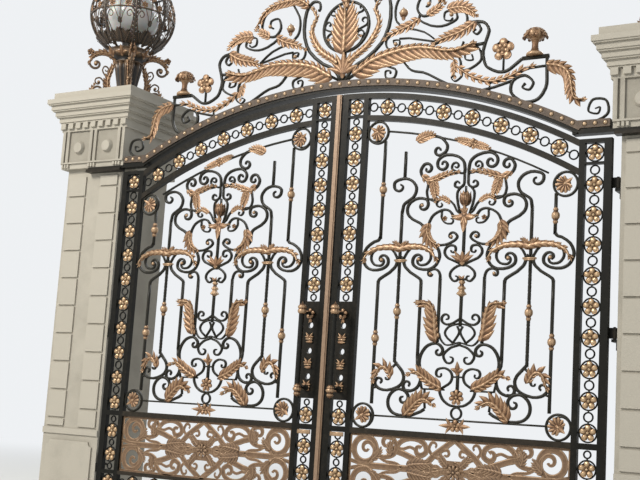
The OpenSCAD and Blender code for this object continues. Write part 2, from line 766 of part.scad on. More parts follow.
module side_scrolls() {
    vine([[stem_u, 415], [398, 386], [364, 351], [354, 314], [368, 276], [408, 251], [464, 236], [514, 242],
        [545, 264], [548, 289], [528, 308], [504, 304], [506, 288]]);
    vine([[414, 395], [438, 372], [447, 340], [451, 308], [468, 292], [484, 300]], 12);
    vine([[360, 196], [376, 186], [372, 168], [346, 162], [322, 184], [322, 215], [350, 240],
        [395, 245], [434, 220],
        [453, 180], [447, 135], [415, 102], [365, 90], [300, 92], [240, 114], [208, 134]]);
    straight([t_axis + t_reach - 4, 245], [536, 251]);
    straight([312, 243], [352, 243]);
}
module lower_scrolls() {
    vine([[136, 484], [150, 472], [146, 456], [124, 454], [108, 476], [112, 506], [136, 526],
        [172, 525], [212, 508], [242, 470],
        [256, 422], [250, 375], [230, 335], [190, 292], [150, 267], [104, 258]]);
    vine([[0, 521], [53, 504], [92, 471], [98, 446], [80, 418], [50, 412], [26, 426], [22, 446]], 12);
    vine([[100, 262], [50, 295], [36, 332], [50, 365], [86, 382], [126, 378], [147, 354], [140, 330],
        [118, 330],
        [114, 348]], 12);
    vine([[0, 677], [24, 662], [56, 646], [90, 642], [116, 658], [124, 684], [112, 708], [86, 710],
        [72, 694], [82, 680]], 12);
    vine([[0, 648], [50, 638], [82, 620], [96, 590], [78, 560], [42, 532], [16, 568], [4, 600],
        [18, 632]], 10);
    vine([[134, 590], [122, 552], [92, 522], [60, 520], [28, 530], [0, 534]], 9);
    straight([84, 254], [234, 254], 9);
    straight([0, 332], [36, 332], 9);
    straight([212, 250], [212, 200], 10);
    vine([[114, 256], [108, 226], [86, 192], [46, 166], [0, 159]], 13);
    straight([205, 138], [212, 204], 10);
    straight([231, 254], [244, 310], 10);
}
module heart_scrolls() {
    vine([[0, 1000], [42, 1020], [94, 1040], [120, 1070], [116, 1100], [92, 1118], [60, 1117],
        [42, 1098], [56, 1080]], 13);
    vine([[0, 1002], [40, 990], [74, 962], [80, 932], [60, 906], [28, 902], [30, 926]], 12);
    vine([[76, 1300], [100, 1330], [138, 1340], [182, 1326], [216, 1300], [238, 1252], [238, 1206],
        [220, 1156],
        [184, 1122], [120, 1124], [70, 1145], [44, 1168], [58, 1192], [94, 1200], [114, 1186],
            [94, 1174]], 13);
    vine([[152, 1336], [152, 1290], [126, 1258], [84, 1252], [70, 1270]], 10);
    straight([0, 912], [32, 912], 12);
}
module brow_scrolls() {
    vine([[30, 1563], [70, 1566], [120, 1558], [190, 1532], [250, 1530], [292, 1552], [308, 1591],
        [290, 1626], [252, 1634],
        [226, 1608], [238, 1576], [268, 1574], [274, 1594]]);
    vine([[14, 1566], [13, 1590], [22, 1632], [52, 1662], [100, 1679], [150, 1680], [186, 1660],
        [197, 1625], [180, 1590],
        [146, 1582], [120, 1604], [128, 1636], [156, 1640], [162, 1620]]);
    vine([[40, 1562], [66, 1574], [96, 1590], [98, 1620], [72, 1637], [48, 1620], [58, 1598]], 11);
    vine([[13, 1574], [12, 1530], [16, 1490], [42, 1472], [74, 1484], [76, 1506], [56, 1502]], 13);
    vine([[248, 1530], [258, 1478], [260, 1448], [248, 1415], [212, 1398], [172, 1408], [164, 1420]], 12);
    vine([[26, 1300], [48, 1370], [56, 1420], [50, 1455], [16, 1490]], 12);
    vine([[30, 1312], [54, 1330], [76, 1370], [112, 1400], [168, 1404], [190, 1374], [168, 1354],
        [122, 1352]], 11);
    straight([166, 1405], [236, 1408], 11);
    straight([84, 1297], [0, 1297], 12);
}
module panel_scrolls() {
    twice(0) {
        tee_scrolls();
        side_bars();
        side_scrolls();
        lower_scrolls();
        heart_scrolls();
        brow_scrolls();
    }
    straight([0, 250], [0, 375]);
    straight([0, 515], [0, 540]);
    straight([0, 630], [0, 920]);
    straight([0, 990], [0, 1310]);
    straight([0, 1300], [0, 1480], 10);
    ring2d([0, border_low + 41], 76, 11);
    straight([-t_axis - t_reach, spring_v - 5], [-t_axis - t_reach, 1800]);
    straight([t_axis + t_reach, spring_v - 5], [t_axis + t_reach, 1410]);
    straight([-t_axis, 1545], [-t_axis, 1720]);
    vine([[-330, 1784], [-260, 1802], [-216, 1804], [-170, 1785], [-138, 1745], [-140, 1710],
        [-170, 1685], [-214, 1688],
        [-234, 1710], [-222, 1730], [-206, 1722]]);
}
module leaf_scrollwork() {
    color(iron) upright(-scroll_d / 2, scroll_d) flat() intersection() {
        clear_panel();
        union() {
            border();
            on_panel() panel_scrolls();
        }
    }
}

// Gilded foliage: leaves with lobed edges along a curved rib
function on_rib(p, a, l, bend, t) =
    let(r = l * 180 / (PI * bend), h = a + bend * t)
    [p[0] - r * sin(a) + r * sin(h), p[1] + r * cos(a) - r * cos(h), h];
function lobe_w(w, t) = w * (0.42 + 0.58 * sin(180 * pow(t, 0.75))) * (1 - 0.4 * t);
lobe_at = [0.1, 0.75];
lobe_reach = [0.28, 0.6];
function leaf_side(p, a, l, w, bend, n, s) = [
    for (i = [0:n - 1], k = [0, 1])
        let(t = (i + lobe_at[k]) / n, h = s * lobe_reach[k] * lobe_w(w, t), q = on_rib(p, a, l, bend, t))
        [q[0] - h * sin(q[2]), q[1] + h * cos(q[2])]
];
function reversed(v) = [for (i = [len(v) - 1:-1:0]) v[i]];
module leaf(p, a, l, w, bend = 1, n = 5) {
    e = on_rib(p, a, l, bend, 1 + 0.3 / n);
    polygon(concat(
        leaf_side(p, a, l, w, bend, n, 1),
        [[e[0], e[1]]],
        reversed(leaf_side(p, a, l, w, bend, n, -1))
    ));
}
// A leaf along a curve, with lobes reaching a share of w to its left and to its right
function frond_side(p, w, n, share) = [
    for (i = [0:n - 1], k = [0, 1])
        let(t = (i + lobe_at[k]) / n) beside(p, t, share * lobe_reach[k] * lobe_w(w, t))
];
module frond(p, w, n, left = 1, right = 1) {
    polygon(concat(
        frond_side(p, w, n, left),
        [on_curve(p, 1)],
        reversed(frond_side(p, w, n, -right))
    ));
}
module shell(p, a, r) {
    for (k = [-2:2]) translate(p) rotate(a + k * 34) translate([r * 0.52, 0])
        scale([1.5, 1]) circle(r * 0.3, $fn = 10);
    translate(p) circle(r * 0.42, $fn = 12);
}
module flower(p, r) {
    for (k = [0:5]) translate(p) rotate(60 * k) translate([r * 0.62, 0]) circle(r * 0.38, $fn = 10);
    translate(p) circle(r * 0.5, $fn = 6);
}
module spray(p, a, r) {
    flower(p, r);
    leaf(p, a, r * 3.4, r * 0.9, 1, 4);
    leaf(p, a + 180, r * 3.4, r * 0.9, 1, 4);
}
module panel_leaves() {
    translate([t_axis, 0]) twice(0) {
        frond([[2, 1100], [60, 1112], [120, 1113], [170, 1104], [208, 1088]], 34, 6, 1.1, 0.8);
        frond([[8, 1104], [26, 1122], [46, 1138]], 26, 2);
        straight([0, 1031], [38, 1031], 12);
    }
    frond([[290, 1548], [250, 1522], [190, 1530], [120, 1558], [62, 1567]], 48, 7, 0.7, 1.1);
    frond([[212, 1520], [204, 1470], [192, 1420]], 38, 3);
    frond([[246, 1240], [238, 1190], [208, 1150], [168, 1126]], 46, 5);
    frond([[6, 1020], [34, 1062], [72, 1102]], 36, 3);
    frond([[146, 552], [156, 620], [166, 700], [196, 760], [262, 766]], 84, 8, 0.25, 1.2);
    frond([[104, 262], [160, 288], [210, 320], [262, 352], [312, 340]], 58, 7, 1.1, 0.7);
    frond([[324, 94], [288, 136], [240, 182], [196, 188], [148, 164]], 66, 7, 0.7, 1.1);
    frond([[446, 330], [478, 368], [516, 362], [546, 300]], 48, 5);
    frond([[100, 1382], [150, 1404], [186, 1392]], 30, 3);
    leaf([0, 372], 50, 46, 26, 1, 3);
    leaf([0, 1298], -50, 90, 34, -1, 4);
}
module centre_leaves() {
    frond([[0, 1302], [0, 1240], [0, 1184]], 60, 4);
    straight([-86, 1297], [86, 1297], 9);
    translate([0, 1400]) circle(43, $fn = 24);
    frond([[0, 1300], [0, 1330], [0, 1362]], 44, 2);
    frond([[0, 1016], [0, 1060], [0, 1108]], 56, 4);
    for (k = [0:2]) translate([0, 916 - 27 * k]) circle(k == 1 ? 12 : 19, $fn = 16);
    frond([[0, 866], [0, 835], [0, 806]], 84, 2);
    leaf([0, 360], 90, 66, 42, 1, 4);
    flower([0, 213], 45);
    spray([0, 46], 0, 32);
    frond([[-338, 1782], [-280, 1806], [-226, 1812]], 40, 4);
}
module leaf_foliage() {
    color(gold) upright(-scroll_d / 2 - gold_t, gold_t) flat() {
        on_panel() {
            twice(0) panel_leaves();
            centre_leaves();
        }
        shell([panel_in + corner_step + 14, mid_rail_z + corner_step], 150, corner_r * 0.62);
        shell([panel_out - corner_step - 14, mid_rail_z + corner_step], 30, corner_r * 0.62);
        shell([corner_in[0] + 10, corner_in[1]], 220, corner_r * 0.62);
        shell([corner_out[0] - 10, corner_out[1]], 320, corner_r * 0.62);
        a = 73;
        r = rail_low_r - border_gap + 14;
        spray([r * cos(a), arch_z0 + r * sin(a)], a - 90, 30);
    }
}

// Collars that grip the square bars
function collar_places() = [
    [-t_axis - t_reach, 1485], [t_axis + t_reach, 1279],
    [-t_axis - t_reach, 551], [t_axis + t_reach, 551],
    [-stem_u, 717], [stem_u, 717]
];
module collar() {
    w = scroll_w * panel_half / drawn_half + 0.1;
    difference() {
        rotate_extrude($fn = 32) polygon([
            [0, -44], [13, -44], [17, -36], [13, -28], [24, -12], [26, 0],
            [24, 12], [13, 28], [17, 36], [13, 44], [0, 44]
        ]);
        translate([-w / 2, -(scroll_d + 0.1) / 2, -60]) cube([w, scroll_d + 0.1, 120]);
    }
}
module leaf_collars() {
    sx = panel_half / drawn_half;
    sz = (arch_z(rail_low_r, panel_axis) - mid_rail_z) / drawn_height;
    color(gold) for (p = collar_places())
        translate([panel_axis + p[0] * sx, 0, mid_rail_z + p[1] * sz]) collar();
}

// Pierced strapwork panel
strap_half_h = 188;
module strap_quarter() {
    ring2d([592, 96], 184, 32);
    vine([[566, 14], [532, 60], [528, 104], [556, 136], [592, 136], [608, 110], [588, 96]], 20);
    vine([[522, 60], [446, 58], [392, 80], [378, 126], [402, 168], [446, 178], [474, 154], [456, 134]], 24);
    vine([[396, 104], [352, 156], [300, 178], [240, 176], [194, 150], [182, 108], [212, 84],
        [250, 96], [246, 124]], 28);
    vine([[400, 104], [330, 86], [240, 54], [150, 22], [60, 0]], 32);
    vine([[384, 118], [334, 114], [290, 128], [256, 116]], 16);
    vine([[0, 190], [62, 142], [126, 94], [172, 46], [214, 0]], 32);
    vine([[140, 88], [164, 124], [152, 158], [122, 164], [110, 146]], 17);
    vine([[84, 122], [46, 126], [32, 104], [54, 90]], 18);
    vine([[132, 84], [72, 62], [0, 58]], 14);
    straight([0, 0], [590, 0], 34);
    vine([[330, 0], [380, 26], [452, 34], [520, 70]], 16);
    vine([[560, 10], [620, 8], [690, 24]], 20);
    ring2d([0, 0], 124, 20);
    ring2d([116, 0], 76, 18);
}
module leaf_strapwork() {
    low = sill_top + skin;
    high = mid_low - skin;
    left = panel_in + skin;
    w = panel_out - panel_in - 2 * skin;
    color(bronze) upright(-plate_t / 2, plate_t) flat() intersection() {
        translate([left, low]) square([w, high - low]);
        union() {
            translate([panel_axis, (low + high) / 2])
                scale([panel_half / drawn_half, (high - low) / 2 / strap_half_h]) {
                    twice(0) {
                        strap_quarter();
                        mirror([0, 1]) strap_quarter();
                    }
                    flower([0, 0], 40);
                }
            difference() {
                translate([left, low]) square([w, high - low]);
                translate([left + 12, low + 12]) square([w - 24, high - low - 24]);
            }
        }
    }
}

// Lock plate, pull handle and cover strip
hole_pitch = 162;
hole_r = 19;
module lock_plate() {
    h = plate_top - plate_low;
    color(iron) translate([meet_col, 0, handle_z]) difference() {
        translate([-band_w / 2, -leaf_t / 2 + 4, plate_low - handle_z]) cube([band_w, leaf_t - 12, h]);
        for (k = [-1:1]) translate([0, leaf_t, k * hole_pitch]) rotate([90, 0,
            0]) cylinder(r = hole_r, h = 2 * leaf_t);
        for (k = [-1, 1], j = [-1, 0, 1], s = [-1, 1])
            translate([s * 16 - 5, -leaf_t, k * hole_pitch / 2 + j * 22 - 6]) cube([10, 2 * leaf_t, 12]);
    }
}
module pull_handle() {
    y = -leaf_t / 2 - handle_reach;
    seat = -leaf_t / 2 + 4;
    half = handle_l / 2;
    color(bronze) translate([meet_col, 0, handle_z]) {
        translate([0, y, -half + 20]) cylinder(d = handle_dia, h = handle_l - 40);
        for (s = [-1, 1]) {
            translate([0, y, s * (half - 34)]) rotate([s < 0 ? 180 : 0, 0, 0]) rotate_extrude() polygon([
                [0, -34], [18, -34], [24, -22], [24, -10], [17, -2], [22, 8], [20, 22], [9, 30], [0, 34]
            ]);
            translate([0, y, s * (half - 60)]) rotate([-90, 0, 0]) cylinder(r = 9, h = seat - y);
            translate([0, seat - 6, s * (half - 60)]) rotate([-90, 0, 0]) cylinder(r = 20, h = 6);
        }
    }
}
module cover_strip() {
    x1 = -(meet_edge - meeting_gap);
    low = ground_gap;
    top = arch_z(rail_top_r, x1) - 4;
    front = -leaf_t / 2;
    color(bronze) {
        translate([x1, front - strip_t * 0.6, low]) cube([strip_w, strip_t * 0.6, top - low]);
        translate([x1 + strip_w * 0.2, front - strip_t, low]) cube([strip_w * 0.6, strip_t, top - low]);
    }
}

// Crest over the arch, drawn for the right half from the top of the arch's crown
crest_w = 16;
drawn_crest = 698;
crest_base = arch_z(beam_top_r, 0);
drawn_bend = 1599;
wreath_z = 378;
wreath_r = 180;
ledge_z = 24;
ledge_h = 20;
block_z = (end_top_z - crest_base) * drawn_crest / crest_h;
module on_crest() {
    translate([0, crest_base]) scale([bend_x / drawn_bend, crest_h / drawn_crest]) twice(0) children();
}
module wreath() {
    ring2d([0, wreath_z], 2 * wreath_r, 18);
    straight([0, -10], [0, wreath_z - wreath_r + 6], 22);
    vine([[14, -12], [40, 52], [90, 104], [172, 146], [261, 224], [307, 302], [328, 400], [318, 520],
        [272, 582], [218, 574], [210, 530], [226, 516]], 20);
    vine([[4, 205], [70, 238], [118, 290], [124, 350], [86, 376], [66, 346], [84, 328]], 10);
}
module top_scroll() {
    vine([[296, 560], [360, 600], [430, 610], [520, 603], [600, 580], [660, 532], [672, 450], [622, 390],
        [558, 380], [518, 434], [540, 500], [600, 494], [602, 450], [576, 438]]);
    vine([[440, 606], [400, 545], [370, 491], [361, 435], [374, 369], [425, 316]], 12);
    vine([[540, 392], [536, 360], [574, 330], [639, 302], [717, 297], [796, 330], [780, 386], [716, 384],
        [714, 336], [752, 324], [770, 342]], 12);
}
module sprig_bars() {
    vine([[538, 362], [472, 324], [417, 308], [350, 284], [306, 246], [322, 192], [388, 184], [404, 234],
        [360, 240], [370, 210]], 11);
    vine([[440, 312], [528, 290], [594, 260], [668, 200]], 10);
    vine([[402, 248], [470, 244], [560, 222], [668, 196]], 10);
    vine([[744, 399], [800, 396], [862, 350], [860, 274], [811, 236], [722, 208], [650, 182]], 13);
}
module shoulder_bar() {
    vine([[928, 250], [912, 232], [938, 214], [962, 244], [936, 282], [893, 262], [880, 276],
        [906, 295], [980, 284], [1016, 232], [996, 158], [982, 90], [1003, 10], [1045, -25], [1100, -45],
        [1155, -36], [1232, 20], [1262, ledge_z]], crest_w);
    straight([1240, ledge_z], [1406, ledge_z], ledge_h);
    vine([[1394, ledge_z + 8], [1394, -60], [1394, -160], [1352, -230], [1290, -249], [1232, -234],
        [1174, -176], [1186, -106], [1256, -82], [1312, -126], [1290, -172], [1246, -156],
            [1264, -130]], crest_w);
    straight([1118, -46], [1118, 96], 9);
}
module low_bars() {
    vine([[440, 92], [500, 28], [594, 2], [694, -53], [806, -109], [950, -146], [1044, -140],
        [1178, -108]], 13);
    vine([[180, 118], [262, 96], [333, 70], [388, 42], [376, -8], [322, -4], [314, 40], [348, 40],
        [346, 20]], 12);
    vine([[808, 118], [836, 50], [842, -4], [905, -2], [972, 48], [950, 126], [872, 122], [868, 62],
        [916, 52], [910, 88]], 12);
    vine([[840, 6], [848, -42], [806, -74], [778, -48], [804, -34]], 10);
    vine([[830, 4], [872, -31], [928, -65], [983, -87], [1039, -104], [1117, -98], [1194, -76], [1250, -48],
        [1306, -37], [1400, -36]], 12);
    straight([1035, -100], [1035, -190], 8);
    vine([[1394, -36], [1472, -48], [1517, -76], [1541, -120], [1552, -176], [1563, -231],
        [1586, -262], [1625, -268]], 12);
}
module acanthus_spine() {
    vine([[40, 20], [139, 72], [217, 118], [328, 150], [439, 170], [550, 172], [661, 150], [750, 128],
        [806, 122], [883, 140], [994, 150]], crest_w);
    vine([[800, 120], [838, 146], [850, 176]], 10);
}
module end_scroll() {
    translate([0, block_z]) vine([[1640, 2], [1710, 3], [1768, 44], [1752, 118], [1676, 126],
        [1652, 62], [1706, 42], [1720, 78], [1690, 72]], 12);
}
module crest_half() {
    wreath();
    top_scroll();
    sprig_bars();
    shoulder_bar();
    low_bars();
    acanthus_spine();
    end_scroll();
}
// The beam's top, as the crest's feet are cut to it
beam_sides = 720;
module crest_scrolls() {
    color(iron) upright(-scroll_d / 2, scroll_d) flat() difference() {
        on_crest() crest_half();
        translate([0, arch_z0]) circle(beam_top_r / cos(180 / beam_sides) + skin, $fn = beam_sides);
        for (s = [-1, 1]) translate([s * (bend_x + 200) - 200, 0]) square([400, end_top_z + skin]);
    }
}
module crest_foliage() {
    color(gold) upright(-scroll_d / 2 - gold_t, gold_t) flat() difference() {
        on_crest() {
            frond([[80, 44], [150, 84], [217, 122], [328, 152], [439, 168], [550, 170], [661, 148],
                [750, 126],
                [830, 126], [928, 152]], 130, 12, 0.5, 1.1);
            frond([[292, 560], [360, 606], [430, 616], [520, 609], [600, 586], [662, 540], [690, 480],
                [706, 455]], 66, 9, 0.7, 1);
            frond([[735, 398], [800, 402], [850, 392], [895, 366], [935, 330]], 60, 6);
            frond([[925, 292], [872, 258], [806, 232], [728, 212], [650, 180]], 60, 6);
            frond([[540, 364], [472, 326], [417, 308], [350, 282], [306, 256]], 50, 5);
            frond([[596, 376], [650, 404], [712, 436]], 44, 3);
            frond([[826, 8], [872, -27], [928, -61], [983, -83], [1039, -98], [1117, -92],
                [1194, -70], [1250, -42],
                [1306, -31]], 46, 8, 0.8, 0.7);
            frond([[1398, -30], [1472, -46], [1517, -76], [1541, -120], [1552, -176], [1563, -231],
                [1580, -258],
                [1628, -266]], 70, 8, 0.6, 1.2);
            frond([[425, 392], [428, 420], [428, 452]], 64, 2);
            frond([[792, 60], [800, 8], [806, -46]], 44, 2);
            straight([362, 420], [430, 420], 10);
        }
        translate([0, arch_z0]) circle(beam_top_r + 1, $fn = beam_sides);
    }
}
module crest_wreath_palmette() {
    color(gold) upright(-scroll_d / 2 - gold_t, gold_t) flat() on_crest() {
        frond([[40, 128], [94, 168], [172, 222], [226, 291], [254, 358], [246, 413], [224, 469],
            [262, 535]], 64, 8);
        leaf([0, wreath_z - 150], 60, 180, 50, -60, 4);
        leaf([0, wreath_z - 150], 76, 230, 54, -40, 5);
        frond([[0, wreath_z - 190], [0, wreath_z], [0, wreath_z + 150]], 96, 7);
        shell([0, wreath_z - 238], 90, 84);
        frond([[0, wreath_z + wreath_r - 14], [0, wreath_z + 240], [0, wreath_z + 320]], 96, 5);
        straight([150, 290], [330, 400], 12);
    }
}
finial_x = 1315;
flower_x = 1118;
flower_z = 91;
module crest_finials() {
    sx = bend_x / drawn_bend;
    sz = crest_h / drawn_crest;
    color(gold) for (s = [-1, 1]) {
        translate([s * finial_x * sx, 0,
            crest_base + (ledge_z + ledge_h / 2) * sz + skin]) rotate_extrude() polygon([
            [0, 0], [52, 0], [50, 18], [26, 30], [22, 96], [44, 112], [92, 118], [96, 136], [76, 170],
                [32, 194], [0, 194]
        ]);
        translate([s * flower_x * sx, -scroll_d / 2, crest_base + flower_z * sz]) rotate([90, 0,
            0]) flower_head();
    }
}
module flower_head() {
    reach = [[28, -36], [62, -22], [72, 0], [62, 22]];
    linear_extrude(13) polygon([
        for (k = [0:4], q = reach) q[0] * [cos(90 + petal_turn * k + q[1]), sin(90 + petal_turn * k + q[1])]
    ]);
    cylinder(r = 24, h = 24, $fn = 24);
}

module left_side() {
    placed() mirrored(true) children();
}
module right_side() {
    placed() mirrored(false) children();
}
lap_edge = -(meet_edge - meeting_gap);

left_side() pier_plinth();  // left_pier_plinth
left_side() pier_shaft();  // left_pier_shaft
left_side() pier_frieze();  // left_pier_frieze
left_side() pier_cornice();  // left_pier_cornice
left_side() lamp_socle();  // left_lamp_socle
left_side() lamp_cage();  // left_lamp_cage
left_side() lamp_globe();  // left_lamp_globe
right_side() pier_plinth();  // right_pier_plinth
right_side() pier_shaft();  // right_pier_shaft
right_side() pier_frieze();  // right_pier_frieze
right_side() pier_cornice();  // right_pier_cornice
right_side() lamp_socle();  // right_lamp_socle
right_side() lamp_cage();  // right_lamp_cage
right_side() lamp_globe();  // right_lamp_globe
placed() overthrow_beam();
placed() overthrow_stud_band();
placed() crest_scrolls();
placed() crest_foliage();
placed() crest_wreath_palmette();
placed() crest_finials();
left_side() pintles();  // left_hinge_pintles
right_side() pintles();  // right_hinge_pintles
left_side() hinge_stile();  // left_leaf_hinge_stile
left_side() meeting_stile(lap_edge);  // left_leaf_meeting_stile
left_side() arched_rail(lap_edge);  // left_leaf_arched_rail
left_side() leaf_rails();  // left_leaf_rails
left_side() leaf_rings();  // left_leaf_rings
left_side() leaf_rosettes();  // left_leaf_rosettes
left_side() leaf_scrollwork();  // left_leaf_scrollwork
left_side() leaf_foliage();  // left_leaf_foliage
left_side() leaf_collars();  // left_leaf_collars
left_side() leaf_strapwork();  // left_leaf_strapwork
left_side() lock_plate();  // left_leaf_lock_plate
left_side() pull_handle();  // left_leaf_handle
left_side() cover_strip();  // meeting_cover_strip
right_side() hinge_stile();  // right_leaf_hinge_stile
right_side() meeting_stile(meet_edge);  // right_leaf_meeting_stile
right_side() arched_rail(meet_edge);  // right_leaf_arched_rail
right_side() leaf_rails();  // right_leaf_rails
right_side() leaf_rings();  // right_leaf_rings
right_side() leaf_rosettes();  // right_leaf_rosettes
right_side() leaf_scrollwork();  // right_leaf_scrollwork
right_side() leaf_foliage();  // right_leaf_foliage
right_side() leaf_collars();  // right_leaf_collars
right_side() leaf_strapwork();  // right_leaf_strapwork
right_side() lock_plate();  // right_leaf_lock_plate
right_side() pull_handle();  // right_leaf_handle
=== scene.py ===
from math import atan2, ceil, cos, degrees, pi, radians, sin, sqrt
import bpy
import numpy as np
from mathutils import Matrix, Vector


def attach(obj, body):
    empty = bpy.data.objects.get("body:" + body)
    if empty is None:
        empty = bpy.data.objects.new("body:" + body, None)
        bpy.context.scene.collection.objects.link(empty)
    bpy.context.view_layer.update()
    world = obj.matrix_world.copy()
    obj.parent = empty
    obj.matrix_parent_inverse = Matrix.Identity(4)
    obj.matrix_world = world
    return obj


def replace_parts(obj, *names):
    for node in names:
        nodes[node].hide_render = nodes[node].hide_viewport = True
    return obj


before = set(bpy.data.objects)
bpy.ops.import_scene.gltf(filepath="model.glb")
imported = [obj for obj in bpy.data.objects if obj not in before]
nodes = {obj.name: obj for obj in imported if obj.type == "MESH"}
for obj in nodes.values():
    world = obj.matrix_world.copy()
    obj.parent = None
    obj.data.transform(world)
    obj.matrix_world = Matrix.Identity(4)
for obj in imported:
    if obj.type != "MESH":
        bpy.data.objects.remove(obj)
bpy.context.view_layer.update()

# Sizes shared with the part's source, in millimetres, in the gate's own frame:
# x from the middle of the opening, y from the leaves' middle plane, z from the ground
GATE_X, GATE_Y = 2108.0, -278.0
ARCH_R, ARCH_Z0 = 3250.0, -572.0
BAND_W, BAR_W = 112.0, 35.0
RAIL_LOW_R = ARCH_R - BAND_W / 2 - BAR_W
RAIL_TOP_R = ARCH_R + BAND_W / 2 + BAR_W
BEAM_TOP_R = RAIL_TOP_R + 90
HINGE_COL, MEET_COL = 1700.0, 120.0
PANEL_IN, PANEL_OUT = 211.0, 1609.0
PANEL_AXIS = (PANEL_IN + PANEL_OUT) / 2
MID_Z, MID_LOW, SILL_TOP = 640.0, 606.0, 230.0
BAND_MID_Z = 149.0
PLATE_TOP, PLATE_LOW = 1415.0, 800.0
BIG_RING, SMALL_RING, RING_T, RING_D, RING_CLEAR = 108.0, 62.0, 9.0, 14.0, 2.0
SCROLL_W, SCROLL_D = 15.5, 19.0
LEAF_Y = -SCROLL_D / 2 + 2
CAGE_R, LAMP_Z, PIER_TOP = 320.0, 3674.4, 2985.0
STUD_R, STUD_Y, STUD_TURN, STUDS_SIDE = BEAM_TOP_R - 23, -37.0, 1.19366, 23
END_STUD_X, END_STUD_STEP, END_STUD_Z = 1644.0, 60.35, 2440.6


def arch_z(r, x):
    return ARCH_Z0 + sqrt(r * r - x * x)


STILE_TOP = arch_z(RAIL_TOP_R, PANEL_OUT)
HINGE_CORNER_Z = STILE_TOP - 24 - BAND_W / 2
MEET_CORNER_Z = arch_z(ARCH_R, MEET_COL)
CREST_BASE = arch_z(BEAM_TOP_R, 0)


def polar(r, turn):
    """The point at a radius and an angle in degrees."""
    return np.array((r * cos(radians(turn)), r * sin(radians(turn))))


def placed(at, turn=0.0, axis="Z"):
    return Matrix.Translation(at) @ Matrix.Rotation(radians(turn), 4, axis)


# Mesh building
class Pile:
    """Faces in the gate's frame, in millimetres, with each point's relief: 0 in hollows, 1 on ridges, which the
    metals paint as shade in the hollows and highlight on the ridges.
    """

    def __init__(self):
        self.v, self.w, self.f, self.n = [], [], [], 0

    def grid(self, p, w, loop_u=False, loop_v=False, flip=False):
        m, n = p.shape[:2]
        idx = np.arange(m * n).reshape(m, n) + self.n
        a = np.concatenate([idx, idx[:1]]) if loop_u else idx
        a = np.concatenate([a, a[:, :1]], axis=1) if loop_v else a
        q = np.stack([a[:-1, :-1], a[:-1, 1:], a[1:, 1:], a[1:, :-1]], axis=-1).reshape(-1, 4)
        self.f.append(q[:, ::-1] if flip else q)
        self.v.append(p.reshape(-1, 3))
        self.w.append(np.broadcast_to(w, (m, n)).reshape(-1))
        self.n += m * n
        return idx

    def fan(self, ring, flip=False):
        """Closes a ring with triangles, each kept as a quad that names a point twice."""
        quads = np.array([[ring[0], ring[i], ring[i + 1], ring[i + 1]] for i in range(1, len(ring) - 1)])
        self.f.append(quads[:, ::-1] if flip else quads)

    def merge(self, other, m):
        v = np.concatenate(other.v)
        m = np.array(m)
        self.v.append(v @ m[:3, :3].T + m[:3, 3])
        self.w.append(np.concatenate(other.w))
        turned = np.linalg.det(m[:3, :3]) < 0
        self.f += [(q[:, ::-1] if turned else q) + self.n for q in other.f]
        self.n += len(v)

    def make(self, name, material, body, side=1, *, slot):
        v = np.concatenate(self.v)
        v = np.stack([GATE_X + side * v[:, 0], v[:, 1] + GATE_Y, v[:, 2]], axis=1) * 0.001
        faces = []
        for q in np.concatenate(self.f).tolist():
            if q[2] == q[3]:
                q = q[:3]
            elif q[0] == q[1]:
                q = q[1:]
            faces.append(q if side > 0 else q[::-1])
        mesh = bpy.data.meshes.new(name)
        mesh.from_pydata(v.tolist(), [], faces)
        mesh.update()
        layer = mesh.attributes.new("relief", "FLOAT", "POINT")
        layer.data.foreach_set("value", np.concatenate(self.w).astype(np.float32))
        mesh.polygons.foreach_set("use_smooth", [True] * len(mesh.polygons))
        mesh.materials.append(material)
        obj = bpy.data.objects.new(name, mesh)
        bpy.context.scene.collection.objects.link(obj)
        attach(obj, body)
        return obj


def chamfered(k):
    return np.array([(1, k), (k, 1), (-k, 1), (-1, k), (-1, -k), (-k, -1), (k, -1), (1, -k)])


BAR_SECTION, RING_SECTION = chamfered(0.68), chamfered(0.4)
STRAP_SECTION = np.array([(1, 0.2), (0.72, 1), (-0.72, 1), (-1, 0.2), (-1, -0.2), (-0.78, -1), (-0.5, -0.7),
                          (0.5, -0.7), (0.78, -1), (1, -0.2)])
ROD_SECTION = np.array([(1, 0), (0.5, 0.9), (-0.5, 0.9), (-1, 0), (-0.5, -0.9), (0.5, -0.9)])
TURN_STEP, FAR_STEP = 10.0, 70.0


def needed(path):
    """The points that keep a path's shape: one for each small turn, and a few where it is straight."""
    run = np.diff(path, axis=0)
    heading = np.unwrap(np.arctan2(run[:, 1], run[:, 0]))
    keep, turned, gone = [0], 0.0, 0.0
    for i in range(1, len(path) - 1):
        turned += abs(degrees(heading[i] - heading[i - 1]))
        gone += np.hypot(*run[i - 1])
        if turned >= TURN_STEP or gone >= FAR_STEP:
            keep.append(i)
            turned, gone = 0.0, 0.0
    return keep + [len(path) - 1]


